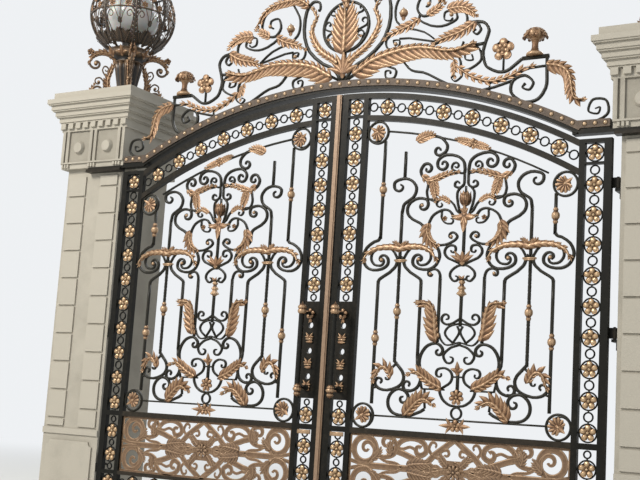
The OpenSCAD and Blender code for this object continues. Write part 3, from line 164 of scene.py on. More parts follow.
def sweep(pile, path, w, d, y=0.0, section=BAR_SECTION, closed=False, twist=None, relief=0.45):
    """A bar along a path in the leaf's plane, with half widths w and half depths d."""
    path = np.asarray(path, float)
    n = len(path)
    w, d, y = (np.broadcast_to(size, n) for size in (w, d, y))
    if not closed and twist is None and n > 4:
        keep = needed(path)
        path, w, d, y, n = path[keep], w[keep], d[keep], y[keep], len(keep)
    run = np.roll(path, -1, 0) - np.roll(path, 1, 0) if closed else np.gradient(path, axis=0)
    run /= np.maximum(np.linalg.norm(run, axis=1, keepdims=True), 1e-9)
    a = np.zeros((n, 1)) if twist is None else twist[:, None]
    s0, s1 = section[:, 0], section[:, 1]
    u = (s0 * np.cos(a) - s1 * np.sin(a)) * w[:, None]
    v = (s0 * np.sin(a) + s1 * np.cos(a)) * d[:, None]
    p = np.stack([path[:, 0:1] - run[:, 1:2] * u, y[:, None] + v, path[:, 1:2] + run[:, 0:1] * u], axis=-1)
    # The section's corners carry a higher relief, painted paler as highlight.
    shade = relief + 0.35 * (np.abs(s0 * s1) > 0.4)
    idx = pile.grid(p, shade, loop_u=closed, loop_v=True, flip=True)
    if not closed:
        pile.fan(idx[0])
        pile.fan(idx[-1], flip=True)


def lathe(pile, profile, segs=24, centre=(0, 0, 0), flute=0, depth=0.0, relief=None, caps=True):
    """A turned solid about a vertical axis; flute cuts that many hollows of a share of the radius."""
    prof = np.asarray(profile, float)
    a = np.arange(segs) * 2 * pi / segs
    k = 1 - depth * (0.5 - 0.5 * np.cos(flute * a)) if flute else np.ones(segs)
    r = prof[:, 0:1] * k
    x, y = centre[0] + r * np.cos(a), centre[1] + r * np.sin(a)
    p = np.stack([x, y, centre[2] + prof[:, 1:2] + 0 * r], axis=-1)
    shade = 0.45 + 0 * r if relief is None else np.asarray(relief)[:, None] + 0 * r
    # Flute hollows carry a lower relief, painted as shade, and the ribs between them a higher one, painted as
    # highlight.
    if flute:
        shade = shade + 0.35 * (k - 1 + depth / 2) / max(depth, 0.01)
    idx = pile.grid(p, shade, loop_v=True)
    if caps:
        pile.fan(idx[0], flip=True)
        pile.fan(idx[-1])


# Drawing
def walk(p, a, pieces, step=8.0):
    """The path of arcs, each a radius and a turn in degrees, from a point and a heading."""
    pts = [tuple(p)]
    for r, s in pieces:
        d = 1 if s > 0 else -1
        c = pts[-1] + d * r * np.array((-sin(radians(a)), cos(radians(a))))
        n = max(1, ceil(abs(s) / step))
        for i in range(1, n + 1):
            h = radians(a + s * i / n)
            pts.append((c[0] + d * r * sin(h), c[1] - d * r * cos(h)))
        a += s
    return np.array(pts)


def spline(points, per=7):
    """A smooth path through points, given as pairs or as one flat list."""
    p = np.reshape(points, (-1, 2)).astype(float)
    m = len(p) - 1
    out = []
    for i in range(m):
        a, b, c, d = p[max(i - 1, 0)], p[i], p[i + 1], p[min(i + 2, m)]
        for t in np.arange(per) / per:
            out.append((2 * b + (c - a) * t + (2 * a - 5 * b + 4 * c - d) * t * t
                        + (3 * b - a - 3 * c + d) * t ** 3) / 2)
    out.append(p[-1])
    return np.array(out)


def circle(c, r, n=0):
    n = n or (24 if r < 30 else 30 if r < 60 else 40)
    a = np.arange(n) * 2 * pi / n
    return np.stack([c[0] + r * np.cos(a), c[1] + r * np.sin(a)], axis=1)


COIL_STEPS, COIL_TURN = 26, 500.0


class Drawing:
    """Strokes on a flat sheet: bars, leaves and flowers, later mapped to their place and built."""

    def __init__(self):
        self.strokes = []

    def add(self, kind, pts, **facts):
        self.strokes.append(dict(kind=kind, pts=np.asarray(pts, float), **facts))

    def volute(self, c, r, start, w):
        """A spiral that tightens into its eye."""
        n = COIL_STEPS
        coil = [(r * (1.07 - 0.9 * (i / n) ** 0.85), COIL_TURN / n) for i in range(n)]
        self.add("bar", walk(c + polar(r, start), start + 90, coil), w=w, eye=True)

    def straight(self, p, q, w=SCROLL_W, twist=0.0):
        n = max(2, int(np.hypot(q[0] - p[0], q[1] - p[1]) // (9 if twist else 60)) + 1)
        self.add("bar", np.linspace(p, q, n), w=w, twist=twist)

    def vine(self, points, w=SCROLL_W, eye=False):
        self.add("bar", spline(points), w=w, eye=eye)

    def scroll(self, points, eye, turn=300.0, w=SCROLL_W):
        """A smooth bar through points that ends in a spiral about its eye."""
        p = list(np.reshape(points, (-1, 2)).astype(float))
        c = np.array(eye, float)
        out, run = p[-1] - c, p[-1] - p[-2]
        d = 1 if out[0] * run[1] - out[1] * run[0] > 0 else -1
        r0, a0 = np.hypot(*out), degrees(atan2(out[1], out[0]))
        r1 = w * 0.5
        steps = max(2, int(turn / 38))
        for t in np.arange(1, steps + 1) / steps:
            p.append(c + polar(r1 + (r0 - r1) * (1 - t) ** 1.15, a0 + d * turn * t))
        self.add("bar", spline(p, 6), w=w, eye=True)

    def ring(self, c, d, t):
        self.add("ring", circle(c, d / 2 - t / 2), w=t)

    def leaf(self, p, a, length, w, bend=1, n=5, **facts):
        rib = walk(p, a, [(length * 180 / (pi * abs(bend)), bend)], max(abs(bend) / (6 * n), 0.01))
        self.add("leaf", rib, w=w, n=n, left=1.0, right=1.0, **facts)

    def frond(self, points, w, n, left=1.0, right=1.0, **facts):
        self.add("leaf", spline(points, 9), w=w, n=n, left=left, right=right, **facts)

    def flower(self, c, r, petals=6, **facts):
        self.add("flower", [c], r=r, petals=petals, **facts)

    def palm(self, c, a, length, w, spread=62.0, blades=5):
        self.add("palm", [c], a=a, length=length, width=w, spread=spread, blades=blades)

    def beads(self, r, *places):
        for c in places:
            self.add("bead", [c], r=r)

    def shell(self, c, a, r, petals):
        self.add("shell", [c], r=r, a=a, petals=petals)

    def twice(self, flip=(-1, 1)):
        """Adds the mirror image of the strokes, across or, with the flip turned, up and down."""
        for s in self.strokes[:]:
            t = dict(s, pts=s["pts"] * flip)
            if "left" in t:
                t["left"], t["right"] = s["right"], s["left"]
            if "a" in t:
                t["a"] = (180 if flip[0] < 0 else 0) - s["a"]
            self.strokes.append(t)

    def moved(self, dx, dz, sx=1.0, sz=1.0):
        for s in self.strokes:
            s["pts"] = s["pts"] * (sx, sz) + (dx, dz)
        return self


def build_bars(pile, drawing, y0=0.0, depth=SCROLL_D, section=BAR_SECTION, fuller=1.14):
    """Sweeps the drawing's rings and bars, each a hair behind the last so that no two faces share a plane."""
    for i, s in enumerate(drawing.strokes):
        y = y0 - 0.4 * (i % 5)
        if s["kind"] == "ring":
            sweep(pile, s["pts"], s["w"] / 2, depth / 2, y, section, closed=True)
        if s["kind"] != "bar":
            continue
        n = len(s["pts"])
        w, d, twist = np.full(n, s["w"] / 2 * fuller), np.full(n, depth / 2), None
        if s.get("eye"):
            k = min(n - 1, 34)
            w[-k:] *= 1 - 0.5 * np.linspace(0, 1, k)
            w[-5:] *= (1.2, 1.6, 1.9, 1.7, 0.9)
            d[-5:] *= (1.0, 1.1, 1.15, 1.05, 0.6)
        if s.get("twist"):
            twist = np.linspace(0, s["twist"] * 2 * pi, n)
        sweep(pile, s["pts"], w, d, y, section, twist=twist)


# Ornament
BACK = 0.3
# A finger's least width, its points along and its places across
FINGER_GRIDS = (
    (30, 8, (-1, -0.72, -0.42, -0.2, 0, 0.2, 0.42, 0.72, 1)),
    (11, 6, (-1, -0.55, 0, 0.55, 1)),
    (0, 5, (-1, 0, 1)),
)


def blade(pile, front, relief):
    """A ridged front on a flat back that shares its edges."""
    pile.grid(front, np.clip(relief, 0, 1), flip=True)
    pile.grid(front[:, [0, -1]], BACK)


def tongue(pile, base, heading, length, width, bend, y, foot, crown, tip, tilt=0.0, point=1.0):
    """One finger of a leaf: a ridged blade that leaves its base at a heading, bends, and lifts its tip."""
    n, k = next((n, np.array(k)) for least, n, k in FINGER_GRIDS if width > least)
    t = np.linspace(0, 1, n)[:, None]
    a = radians(heading) + radians(bend) * t ** 1.3
    mid, ds = (a[1:] + a[:-1]) / 2, length / (n - 1)
    px = base[0] + np.concatenate([[[0.0]], np.cumsum(np.cos(mid), axis=0)]) * ds
    pz = base[1] + np.concatenate([[[0.0]], np.cumsum(np.sin(mid), axis=0)]) * ds
    swell = np.minimum(0.66 + 0.95 * t, 1.0) * np.clip((1 - t) / 0.62, 0, 1) ** point
    off = width / 2 * np.maximum(swell, 0.05) * k
    full = 0.3 + 0.7 * swell
    ridge = (1 - np.abs(k)) ** 1.1 + (0.16 * (np.abs(np.abs(k) - 0.42) < 0.1) if width > 30 else 0)
    h = foot * (1 - t) ** 1.5 + tip * t ** 2 + crown * full * ridge + tilt * full * k
    # Painted highlight on the finger's ridge and lifted tip, painted shade at its edges and foot.
    relief = 0.02 + 0.66 * ridge * (0.5 + 0.5 * t) + 0.34 * t ** 1.4
    blade(pile, np.stack([px - np.sin(a) * off, y - h, pz + np.cos(a) * off], axis=-1), relief)


def acanthus(pile, rib, y, w, n, left=1.0, right=1.0, lift=9.0, curl=14.0, body=0.13):
    """A forged acanthus leaf: a rolled body along its rib, and fingers that overlap towards its tip."""
    run = np.concatenate([[0], np.cumsum(np.linalg.norm(np.diff(rib, axis=0), axis=1))])
    total = run[-1]

    def along(t):
        return np.stack([np.interp(t * total, run, rib[:, 0]), np.interp(t * total, run, rib[:, 1])], axis=-1)

    def at(t):
        u = min(t + 0.03, 1.0)
        dx, dz = along(u) - along(max(u - 0.06, 0.0))
        return along(t), degrees(atan2(dz, dx))

    size = min(1.3, 0.4 + w / 90)
    lift, curl = lift * size, curl * size
    pairs = max(3, int(round(n * 1.2)))
    gap = total / (pairs + 0.8)
    for i in range(pairs):
        t = i / (pairs + 0.8)
        env = w * (0.62 + 0.38 * sin(pi * min(1.0, t + 0.22) ** 0.85)) * (1 - 0.30 * t)
        for sign, share in ((1, left), (-1, right)):
            p, head = at(t + (0.0 if sign > 0 else 0.35 / pairs))
            spread = (44 - 18 * t) * (0.62 + 0.38 * share)
            long = max(0.60 * env * share / sin(radians(spread * 0.92)), gap)
            broad = min(1.75 * gap * sin(radians(spread)) + 0.16 * long, 0.46 * long + 6)
            foot, crown, tip, tilt = lift * 0.34, lift * 0.52, curl * (0.35 + 0.5 * t), sign * lift * 0.22
            tongue(pile, p, head + sign * spread * 1.12, long, broad, -sign * spread * 0.34,
                   y - 0.12 * (i % 3), foot, crown, tip, tilt, 0.85)
    p, head = at(0.965)
    for turn, part in ((26, 0.8), (-26, 0.8), (0, 1.0)):
        tongue(pile, p, head + turn, part * max(1.1 * gap, 0.34 * w), 0.22 * w * part + 4, turn * 0.4,
               y - 0.6, lift * 0.4, lift * 0.5, curl * 0.9, 0, 0.8)
    waved = w > 50
    t = np.linspace(0, 1, (3 if waved else 2) * pairs + 4)
    x, z = along(t).T
    dx, dz = np.gradient(x), np.gradient(z)
    m = np.hypot(dx, dz)
    x, z, dx, dz, t = (c[:, None] for c in (x, z, dx / m, dz / m, t))
    k = np.array([-1, -0.75, -0.4, 0, 0.4, 0.75, 1.0] if waved else [-1, -0.5, 0, 0.5, 1.0])
    wave = waved * np.sin(2 * pi * (t * (pairs + 0.8) - 0.45 * np.abs(k)))
    half = w * body * (0.75 + 0.4 * np.sin(pi * t ** 0.7)) * (1 - 0.72 * t) + 1.2
    off = half * k + 0.04 * w * (left - right) * (1 - t)
    lean = np.abs(k) * half * 0.7
    roll = 0.6 * (1 - 0.5 * t) * (1 - np.abs(k) ** 2.2) + 0.07 * wave
    h = lift * (0.5 + roll) + curl * 0.8 * t ** 3
    # Painted highlight along the rolled body's middle, on the wave crests and towards the tip; painted shade at
    # its edges and in the wave troughs.
    relief = 0.10 + 0.52 * (1 - k ** 2) + 0.26 * wave + 0.2 * t
    blade(pile, np.stack([x - dz * off + dx * lean, y - h, z + dx * off + dz * lean], axis=-1), relief)


def palm(pile, c, y, a, length, width, spread=62.0, blades=5, lift=9.0, curl=12.0):
    """A palmette: pointed blades fanned from a foot, the outer ones curving away."""
    middle = (blades - 1) / 2
    for i in sorted(range(blades), key=lambda i: -abs(i - middle)):
        k = (i - middle) / max(1, middle)
        tongue(pile, c, a + k * spread, length * (1 - 0.26 * abs(k)), width * (1 - 0.12 * abs(k)), 26 * k,
               y - 1.5 * (1 - abs(k)), lift * 0.4, lift * 0.7, curl, 0, 0.72)
    tongue(pile, c, a + 180, width * 0.7, width * 0.8, 0, y - 3, lift * 0.6, lift * 0.5, 2.0, 0, 0.5)


def dome(r, h, turns):
    """The profile of a ball of half width r and half height h, at turns in degrees up from its equator."""
    return [(r * cos(radians(a)), h * sin(radians(a))) for a in turns]


def bead(pile, c, y, r):
    """A small ball, on a scroll's eye or in a row."""
    ball = [(q + 0.2, h) for q, h in dome(r, r, range(-90, 91, 30))]
    # The ball's relief rises from its foot to its top, painted as shade below and as highlight above.
    lathe(pile, ball, 12, (c[0], y - 2, c[1]), relief=[0.1, 0.2, 0.5, 0.8, 0.9, 1.0, 1.0])


def blossom(pile, c, y, r, petals=5, h=12.0, turn=90.0, thick=1.0):
    """A cast flower: separate cupped petals, each with a vein, around a domed button."""
    large = r > 32
    g = [0, 0.12, 0.2, 0.26, 0.36, 0.52, 0.7, 0.87, 1] if large else [0, 0.14, 0.24, 0.34, 0.55, 0.8, 1]
    g = np.array(g)[:, None]
    seg = petals * (8 if large else 6)
    a = np.arange(seg) * 2 * pi / seg
    lobe = np.abs(np.cos(petals / 2 * a))
    petal = np.sin(pi * np.clip((g - 0.2) / 0.88, 0, 1)) ** 0.7
    vein = np.abs(np.cos(petals * a)) > 0.97
    button = 1.1 * np.sqrt(np.clip(1 - (g / 0.24) ** 2, 0, 1))
    rise = h * np.maximum(0.14 + petal * (0.08 + 0.76 * lobe ** 0.75 - 0.14 * vein), button)
    a = a + radians(turn)
    rad = g * r * (0.58 + 0.42 * lobe ** 0.5)
    x, z = c[0] + rad * np.cos(a), c[1] + rad * np.sin(a)
    # Painted highlight on the raised petals, painted shade in their valleys and in a dark ring round the
    # button.
    relief = 0.02 + 0.92 * (rise / h) ** 1.3 - 0.45 * (np.abs(g - 0.26) < 0.06) + 0.1 * g
    rim = pile.grid(np.stack([x, y - rise, z], axis=-1), np.clip(relief, 0, 1), loop_v=True)[-1]
    low = pile.grid(np.stack([x[-1:], 0 * x[-1:] + y + thick, z[-1:]], axis=-1), 0.05, loop_v=True)[0]
    pile.f.append(np.stack([rim, np.roll(rim, -1), np.roll(low, -1), low], axis=1)[:, ::-1])
    pile.fan(low, flip=True)


def shell_fan(pile, c, y, a, r, petals, h=13.0, spread=128.0):
    """A scallop shell: ribs that swell from a foot and end in a scalloped rim."""
    across = np.linspace(-1, 1, petals * 6 + 1)
    ang = radians(a) + across * radians(spread)
    lobe = np.abs(np.sin(pi * petals * (across + 1) / 2))
    rho = np.array([0.06, 0.25, 0.45, 0.62, 0.78, 0.9, 1.0])[:, None]
    rad = rho * r * (0.82 + 0.22 * lobe ** 0.6) * (1 - 0.34 * np.abs(across) ** 1.5)
    x, z = c[0] + rad * np.cos(ang), c[1] + rad * np.sin(ang)
    rise = h * (0.35 + 0.5 * lobe ** 0.8 * rho ** 0.7 + 0.3 * np.sin(pi * rho ** 1.2))
    # Painted highlight on the ribs towards the rim, painted shade in the grooves and at the foot.
    pile.grid(np.stack([x, y - rise, z], axis=-1), np.clip(0.05 + 0.9 * lobe * rho ** 0.5, 0, 1))
    pile.grid(np.stack([x, y - np.maximum(rise - 4, 0) + 1, z], axis=-1), 0.05, flip=True)


ORNAMENT = {"leaf": acanthus, "flower": blossom, "bead": bead, "palm": palm, "shell": shell_fan}


def build_ornament(pile, drawing, y):
    for s in drawing.strokes:
        facts = dict(s)
        kind, pts = facts.pop("kind"), facts.pop("pts")
        if kind in ORNAMENT:
            ORNAMENT[kind](pile, pts if kind == "leaf" else pts[0], y, **facts)


# Materials
def link(tree, a, b):
    tree.links.new(a, b)


def put(n, **values):
    """Sets a node's sockets and properties; an underscore stands for the space in a socket's name."""
    for key, value in values.items():
        socket = n.inputs.get(key.replace("_", " "))
        if socket:
            socket.default_value = value
        else:
            setattr(n, key, value)
    return n


def node(t, kind, vector=None, **values):
    n = put(t.nodes.new("ShaderNode" + kind), **values)
    if vector:
        link(t, vector, n.inputs["Vector"])
    return n


def maths(t, operation, *terms, clamp=False):
    """A Math node's result, from sockets and numbers."""
    n = node(t, "Math", operation=operation, use_clamp=clamp)
    for socket, term in zip(n.inputs, terms):
        if isinstance(term, float):
            socket.default_value = term
        else:
            link(t, term, socket)
    return n.outputs[0]


def ramp(t, source, *stops):
    """A colour ramp through stops, each a position and a colour."""
    n = node(t, "ValToRGB")
    points = n.color_ramp.elements
    for _ in stops[2:]:
        points.new(1.0)
    for i, (position, colour) in enumerate(stops):
        points[i].position = position
        points[i].color = (*colour, 1)
    link(t, source, n.inputs["Fac"])
    return n.outputs["Color"]


def bumped(t, height, strength, distance, normal=None):
    n = node(t, "Bump", Strength=strength, Distance=distance)
    link(t, height, n.inputs["Height"])
    if normal:
        link(t, normal, n.inputs["Normal"])
    return n.outputs["Normal"]


def fresh(name):
    m = bpy.data.materials.new(name)
    m.use_nodes = True
    t = m.node_tree
    return m, t, t.nodes["Principled BSDF"], node(t, "TexCoord").outputs["Object"]


def relief_metal(name, hollow_shade, body, ridge, rough, metallic, bump, grain=260.0, edge=0.0, *,
                 level=0.0, spec=0.5):
    """Painted metal, with a paler tone painted on its ridges as highlight and a dark tone painted in its
    hollows as shade.
    """
    m, t, bsdf, at = fresh(name)
    put(bsdf, Metallic=metallic, Specular_IOR_Level=spec, Base_Color=(*body, 1))
    noise = node(t, "TexNoise", at, Scale=38.0, Detail=6.0, Roughness=0.65).outputs["Fac"]
    blot = maths(t, "MULTIPLY_ADD", noise, 0.6, level - 0.3)
    # Pointiness paints convex edges paler as highlight and concave creases darker as shade.
    edge_highlight_crease_shade = maths(t, "MULTIPLY_ADD", node(t, "NewGeometry").outputs["Pointiness"], edge, -0.5 * edge)
    relief = node(t, "Attribute", attribute_name="relief").outputs["Fac"]
    height = maths(t, "ADD", maths(t, "ADD", relief, blot), edge_highlight_crease_shade, clamp=True)
    # The relief is painted as colour: shade in the hollows, highlight on the ridges.
    link(t, ramp(t, height, (0.12, hollow_shade), (0.46, body), (0.92, ridge)), bsdf.inputs["Base Color"])
    shine = node(t, "MapRange", To_Min=rough + 0.12, To_Max=rough - 0.08)
    link(t, height, shine.inputs["Value"])
    link(t, shine.outputs["Result"], bsdf.inputs["Roughness"])
    fine = node(t, "TexNoise", at, Scale=grain, Detail=3.0).outputs["Fac"]
    link(t, bumped(t, fine, bump, 0.002), bsdf.inputs["Normal"])
    return m


def stone_material(name, tone, deep):
    """Cast stone: fine grain, faint clouds, small pits, and painted shade that darkens its concave creases and
    hollows.
    """
    m, t, bsdf, at = fresh(name)
    put(bsdf, Roughness=0.82, Specular_IOR_Level=0.3)
    cloud = node(t, "TexNoise", at, Scale=3.2, Detail=8.0, Roughness=0.6).outputs["Fac"]
    grain = node(t, "TexNoise", at, Scale=190.0, Detail=5.0).outputs["Fac"]
    pits = node(t, "TexVoronoi", at, Scale=120.0).outputs["Distance"]
    mottle = maths(t, "MULTIPLY_ADD", grain, 0.28, maths(t, "MULTIPLY", cloud, 0.78))
    # Pointiness darkens concave creases and hollows as painted shade.
    crease_shade = maths(t, "MULTIPLY_ADD", node(t, "NewGeometry").outputs["Pointiness"], 2.2, -1.1)
    link(t, ramp(t, maths(t, "ADD", mottle, crease_shade), (0.3, deep), (0.68, tone)), bsdf.inputs["Base Color"])
    link(t, bumped(t, pits, 0.15, 0.003, bumped(t, grain, 0.35, 0.002)), bsdf.inputs["Normal"])
    return m


def globe_material():
    """Opal glass: milky white with a soft gloss and faint cloudiness."""
    m, t, bsdf, at = fresh("opal_glass")
    put(bsdf, Roughness=0.16, Subsurface_Weight=0.35, Subsurface_Scale=0.03)
    cloud = node(t, "TexNoise", at, Scale=9.0).outputs["Fac"]
    link(t, ramp(t, cloud, (0.0, (0.66, 0.67, 0.64)), (1.0, (0.86, 0.86, 0.82))), bsdf.inputs["Base Color"])
    return m


# Each metal: its painted shade in hollows, its tone on the body and its painted highlight on ridges, then
# roughness, metallic, bump, grain and painted edge highlight and crease shade; a level raises the relief of
# solids that carry none
IRON = relief_metal("dark_iron", (0.003, 0.003, 0.0025), (0.010, 0.0095, 0.0072), (0.028, 0.026, 0.019),
                    0.38, 0.0, 0.2, spec=0.17)
FRAME_IRON = relief_metal("frame_iron", (0.004, 0.004, 0.003), (0.010, 0.0095, 0.0072), (0.045, 0.036, 0.026),
                          0.34, 0.0, 0.10, 200.0, 2.0, level=0.35, spec=0.13)
BRONZE = relief_metal("brushed_bronze", (0.030, 0.016, 0.009), (0.175, 0.103, 0.056), (0.33, 0.215, 0.128),
                      0.46, 0.3, 0.25, 260.0, 2.0)
BAND = relief_metal("studded_bronze", (0.030, 0.019, 0.012), (0.105, 0.070, 0.044), (0.30, 0.20, 0.12),
                    0.46, 0.25, 0.3, 160.0, 3.0, level=0.42)
STUDS = relief_metal("stud_bronze", (0.040, 0.022, 0.012), (0.17, 0.104, 0.056), (0.50, 0.35, 0.215),
                     0.36, 0.4, 0.2, 260.0, 1.0)
STRIP = relief_metal("copper_strip", (0.06, 0.036, 0.022), (0.215, 0.135, 0.084), (0.36, 0.245, 0.160),
                     0.46, 0.3, 0.4, 70.0, 1.0, level=0.52)
GOLD = relief_metal("copper_gold", (0.012, 0.006, 0.0035), (0.212, 0.110, 0.052), (0.455, 0.30, 0.175),
                    0.42, 0.35, 0.22, 260.0, 2.5)
BRASS = relief_metal("aged_brass", (0.016, 0.010, 0.006), (0.27, 0.158, 0.075), (0.66, 0.48, 0.29),
                     0.34, 0.45, 0.2, 260.0, 2.0)
LAMP_IRON = relief_metal("bronzed_black", (0.004, 0.0035, 0.003), (0.017, 0.0135, 0.010),
                         (0.135, 0.086, 0.050), 0.40, 0.1, 0.25, 260.0, 2.0)
STONE = stone_material("cast_stone", (0.455, 0.422, 0.355), (0.30, 0.276, 0.228))
GLASS = globe_material()


# The leaves' rings
LEAST_GAP, TIE_HALF, TIE_LAP = 3.0, 4.2, 3


def row_rings(length, n, lead):
    """A row's rings, each a place along it and a size: n big ones, with n + lead small ones between."""
    room, gaps = length - 2 * RING_CLEAR - n * BIG_RING, 2 * n + lead - 1
    small = min(SMALL_RING, (room - gaps * LEAST_GAP) / (n + lead))
    gap = (room - (n + lead) * small) / gaps
    pitch = BIG_RING + small + 2 * gap
    first_big = RING_CLEAR + BIG_RING / 2 + lead * (small + gap)
    first_small = RING_CLEAR + small / 2 + (1 - lead) * (BIG_RING + gap)
    return sorted([(first_big + k * pitch, BIG_RING) for k in range(n)]
                  + [(first_small + k * pitch, small) for k in range(n + lead)])


ARC_FROM, ARC_TO = np.arcsin(PANEL_IN / ARCH_R), np.arcsin(PANEL_OUT / ARCH_R)
BELOW_CORNER, ARC_SPARE = BAND_W / 2 + 12, 8
# Each row: its way, where it starts, its length, how many big rings it has, and 1 where a small ring leads
ROWS = [
    ("up", HINGE_COL, MID_Z, HINGE_CORNER_Z - BELOW_CORNER - MID_Z, 9, 0),
    ("up", HINGE_COL, SILL_TOP, MID_LOW - SILL_TOP, 2, 1),
    ("up", MEET_COL, PLATE_TOP, MEET_CORNER_Z - BELOW_CORNER - PLATE_TOP, 7, 1),
    ("up", MEET_COL, MID_Z, PLATE_LOW - MID_Z, 1, 0),
    ("up", MEET_COL, SILL_TOP, MID_LOW - SILL_TOP, 2, 1),
    ("arch", 0, 0, (ARC_TO - ARC_FROM) * ARCH_R - ARC_SPARE, 7, 1),
    ("foot", 0, 0, PANEL_OUT - PANEL_IN, 7, 1),
]
CORNERS = [(HINGE_COL, HINGE_CORNER_Z), (MEET_COL, MEET_CORNER_Z), (HINGE_COL, BAND_MID_Z),
           (MEET_COL, BAND_MID_Z)]


def row_place(row, s):
    """The point at a length along a row, and the direction across the row there."""
    if row[0] == "up":
        return np.array((row[1], row[2] + s)), np.array((1.0, 0.0))
    if row[0] == "foot":
        return np.array((PANEL_IN + s, BAND_MID_Z)), np.array((0.0, 1.0))
    a = ARC_FROM + s / ARCH_R
    u = np.array((sin(a), cos(a)))
    return (0, ARCH_Z0) + ARCH_R * u, u


def leaf_rings(side, body):
    """The rings in the frame's bands, a cast rosette in each big one, and the short ties that hold them."""
    rings, roses = Pile(), Pile()
    places, ties = [(c, BIG_RING) for c in CORNERS], []
    spokes = [(c, np.array(u)) for c in CORNERS for u in ((1, 0), (-1, 0), (0, 1), (0, -1))]
    for row in ROWS:
        line = row_rings(*row[3:])
        for s, d in line:
            c, u = row_place(row, s)
            places.append((c, d))
            spokes += [(c, -u), (c, u)] if d == BIG_RING else []
        for (s0, d0), (s1, d1) in zip(line, line[1:]):
            ties.append([row_place(row, s)[0] for s in (s0 + d0 / 2 - TIE_LAP, s1 - d1 / 2 + TIE_LAP)])
    ties += [[c + u * (BIG_RING / 2 - TIE_LAP), c + u * (BAND_W / 2 + 1)] for c, u in spokes]
    for c, d in places:
        big = d == BIG_RING
        line = circle(c, (d - RING_T) / 2, 36 if big else 28)
        sweep(rings, line, RING_T / 2, RING_D / 2, 0, RING_SECTION, True)
        if big:
            blossom(roses, c, -1.0, BIG_RING / 2 - RING_T + 1, 5, 14.0, thick=1.2)
    for tie in ties:
        sweep(rings, tie, TIE_HALF, RING_D / 2 - 2)
    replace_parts(rings.make(body + "_ring_rows", IRON, body, side, slot="dark_iron"), body + "_rings")
    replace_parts(roses.make(body + "_cast_rosettes", BRASS, body, side, slot="brass"), body + "_rosettes")


# The leaves' scrollwork: drawn on a sheet whose zero is the panel's middle and foot, then fitted to the panel
T_AXIS, T_REACH, INNER, STEM_U, SPRING_V = 418, 148, 143, 424, 1175
DRAWN_HALF, DRAWN_H = 699, 1813
PANEL_SX = (PANEL_OUT - PANEL_IN) / 2 / DRAWN_HALF
PANEL_SZ = (arch_z(RAIL_LOW_R, PANEL_AXIS) - MID_Z) / DRAWN_H
CORNER_R = 78
CORNER_STEP = CORNER_R - 1
BORDER_R, BORDER_Z, BORDER_LAP = RAIL_LOW_R - 66, MID_Z + 79, 8
BROW_FLOWER_TURN = 72.2


def tee_scrolls(d):
    """The scrolls about the axis of a side field, mirrored about it."""
    d.scroll([T_REACH, SPRING_V + 10, 162, 1162, 196, 1150, 240, 1117, 262, 1072, 260, 1035, 236, 995,
              190, 974, 130, 979, 90, 1004], (128, 1036), 290)
    d.scroll([168, 1106, 200, 1080, 205, 1040, 180, 1008, 142, 1001], (139, 1034), 260, 13)
    d.vine([6, 1052, 22, 1040, 25, 1012, 40, 986, 78, 953, 124, 927, 144, 910, T_REACH, 885])
    d.vine([8, 1020, 22, 1045, 42, 1080, 66, 1106], 12)
    d.twice()
    d.moved(T_AXIS, 0)


def side_bars(d):
    """The upright bars of a side field and the scrolls that end them."""
    outer, inner = T_AXIS + T_REACH, T_AXIS - T_REACH
    d.straight((outer, 905), (outer, 150))
    d.straight((inner, 905), (inner, 440))
    d.scroll([inner, 450, 267, 405, 250, 360, 241, 307, 262, 260, 308, 237, 344, 244], (326, 274), 300)
    d.straight((STEM_U, 408), (STEM_U, 960), twist=9.0)
    d.straight((STEM_U, 960), (STEM_U, 1340))
    d.scroll([STEM_U, 1330, 414, 1380, 385, 1404, 352, 1426, 334, 1460, 336, 1496, 364, 1530, 408, 1547,
              456, 1542, 486, 1524], (446, 1500), 300)
    d.scroll([inner, SPRING_V, 272, 1232, 290, 1258, 346, 1286, 380, 1318, 388, 1355, 374, 1388, 342, 1410,
              304, 1418, 260, 1408], (284, 1372), 330)
    d.straight((INNER, 535), (INNER, 925))
    d.scroll([INNER, 915, 147, 944, 162, 968, 190, 976, 218, 966], (206, 946), 250, 13)


def side_scrolls(d):
    """The large scrolls at a side field's foot."""
    d.scroll([STEM_U, 415, 398, 386, 366, 351, 355, 314, 370, 276, 408, 251, 464, 236, 514, 242, 545, 264],
             (518, 286), 290)
    d.scroll([414, 395, 438, 372, 447, 340, 452, 312], (470, 312), 200, 12)
    d.scroll([208, 134, 240, 114, 300, 92, 365, 90, 415, 102, 447, 135, 453, 180, 434, 220, 395, 245,
              350, 240, 322, 215], (354, 192), 320)
    d.straight((T_AXIS + T_REACH - 4, 245), (536, 252), 10)
    d.straight((312, 243), (352, 243), 10)


def lower_scrolls(d):
    """The scrolls about the middle stem, below its drop."""
    d.scroll([104, 258, 150, 267, 190, 292, 230, 335, 250, 375, 256, 422, 242, 470, 212, 508, 172, 526,
              136, 524, 112, 504], (134, 480), 320)
    d.scroll([0, 521, 53, 504, 92, 471, 98, 446, 80, 418], (54, 440), 250, 12)
    d.scroll([100, 262, 50, 295, 36, 332, 50, 365, 86, 382, 126, 376], (116, 346), 290, 12)
    d.scroll([0, 677, 24, 662, 56, 646, 90, 642, 116, 658], (90, 680), 330, 12)
    d.vine([0, 648, 50, 638, 82, 620, 96, 590, 78, 560, 42, 532], 10)
    d.vine([42, 532, 16, 568, 4, 600, 18, 632], 10)
    d.vine([134, 590, 122, 552, 92, 522, 60, 520, 28, 530, 0, 534], 9)
    for a, b in (((84, 254), (234, 254)), ((0, 332), (36, 332))):
        d.straight(a, b, 9)
    for a, b in (((212, 250), (212, 200)), ((205, 138), (212, 204)), ((231, 254), (244, 310))):
        d.straight(a, b, 10)
    d.vine([114, 256, 108, 226, 86, 192, 46, 166, 0, 159], 13)


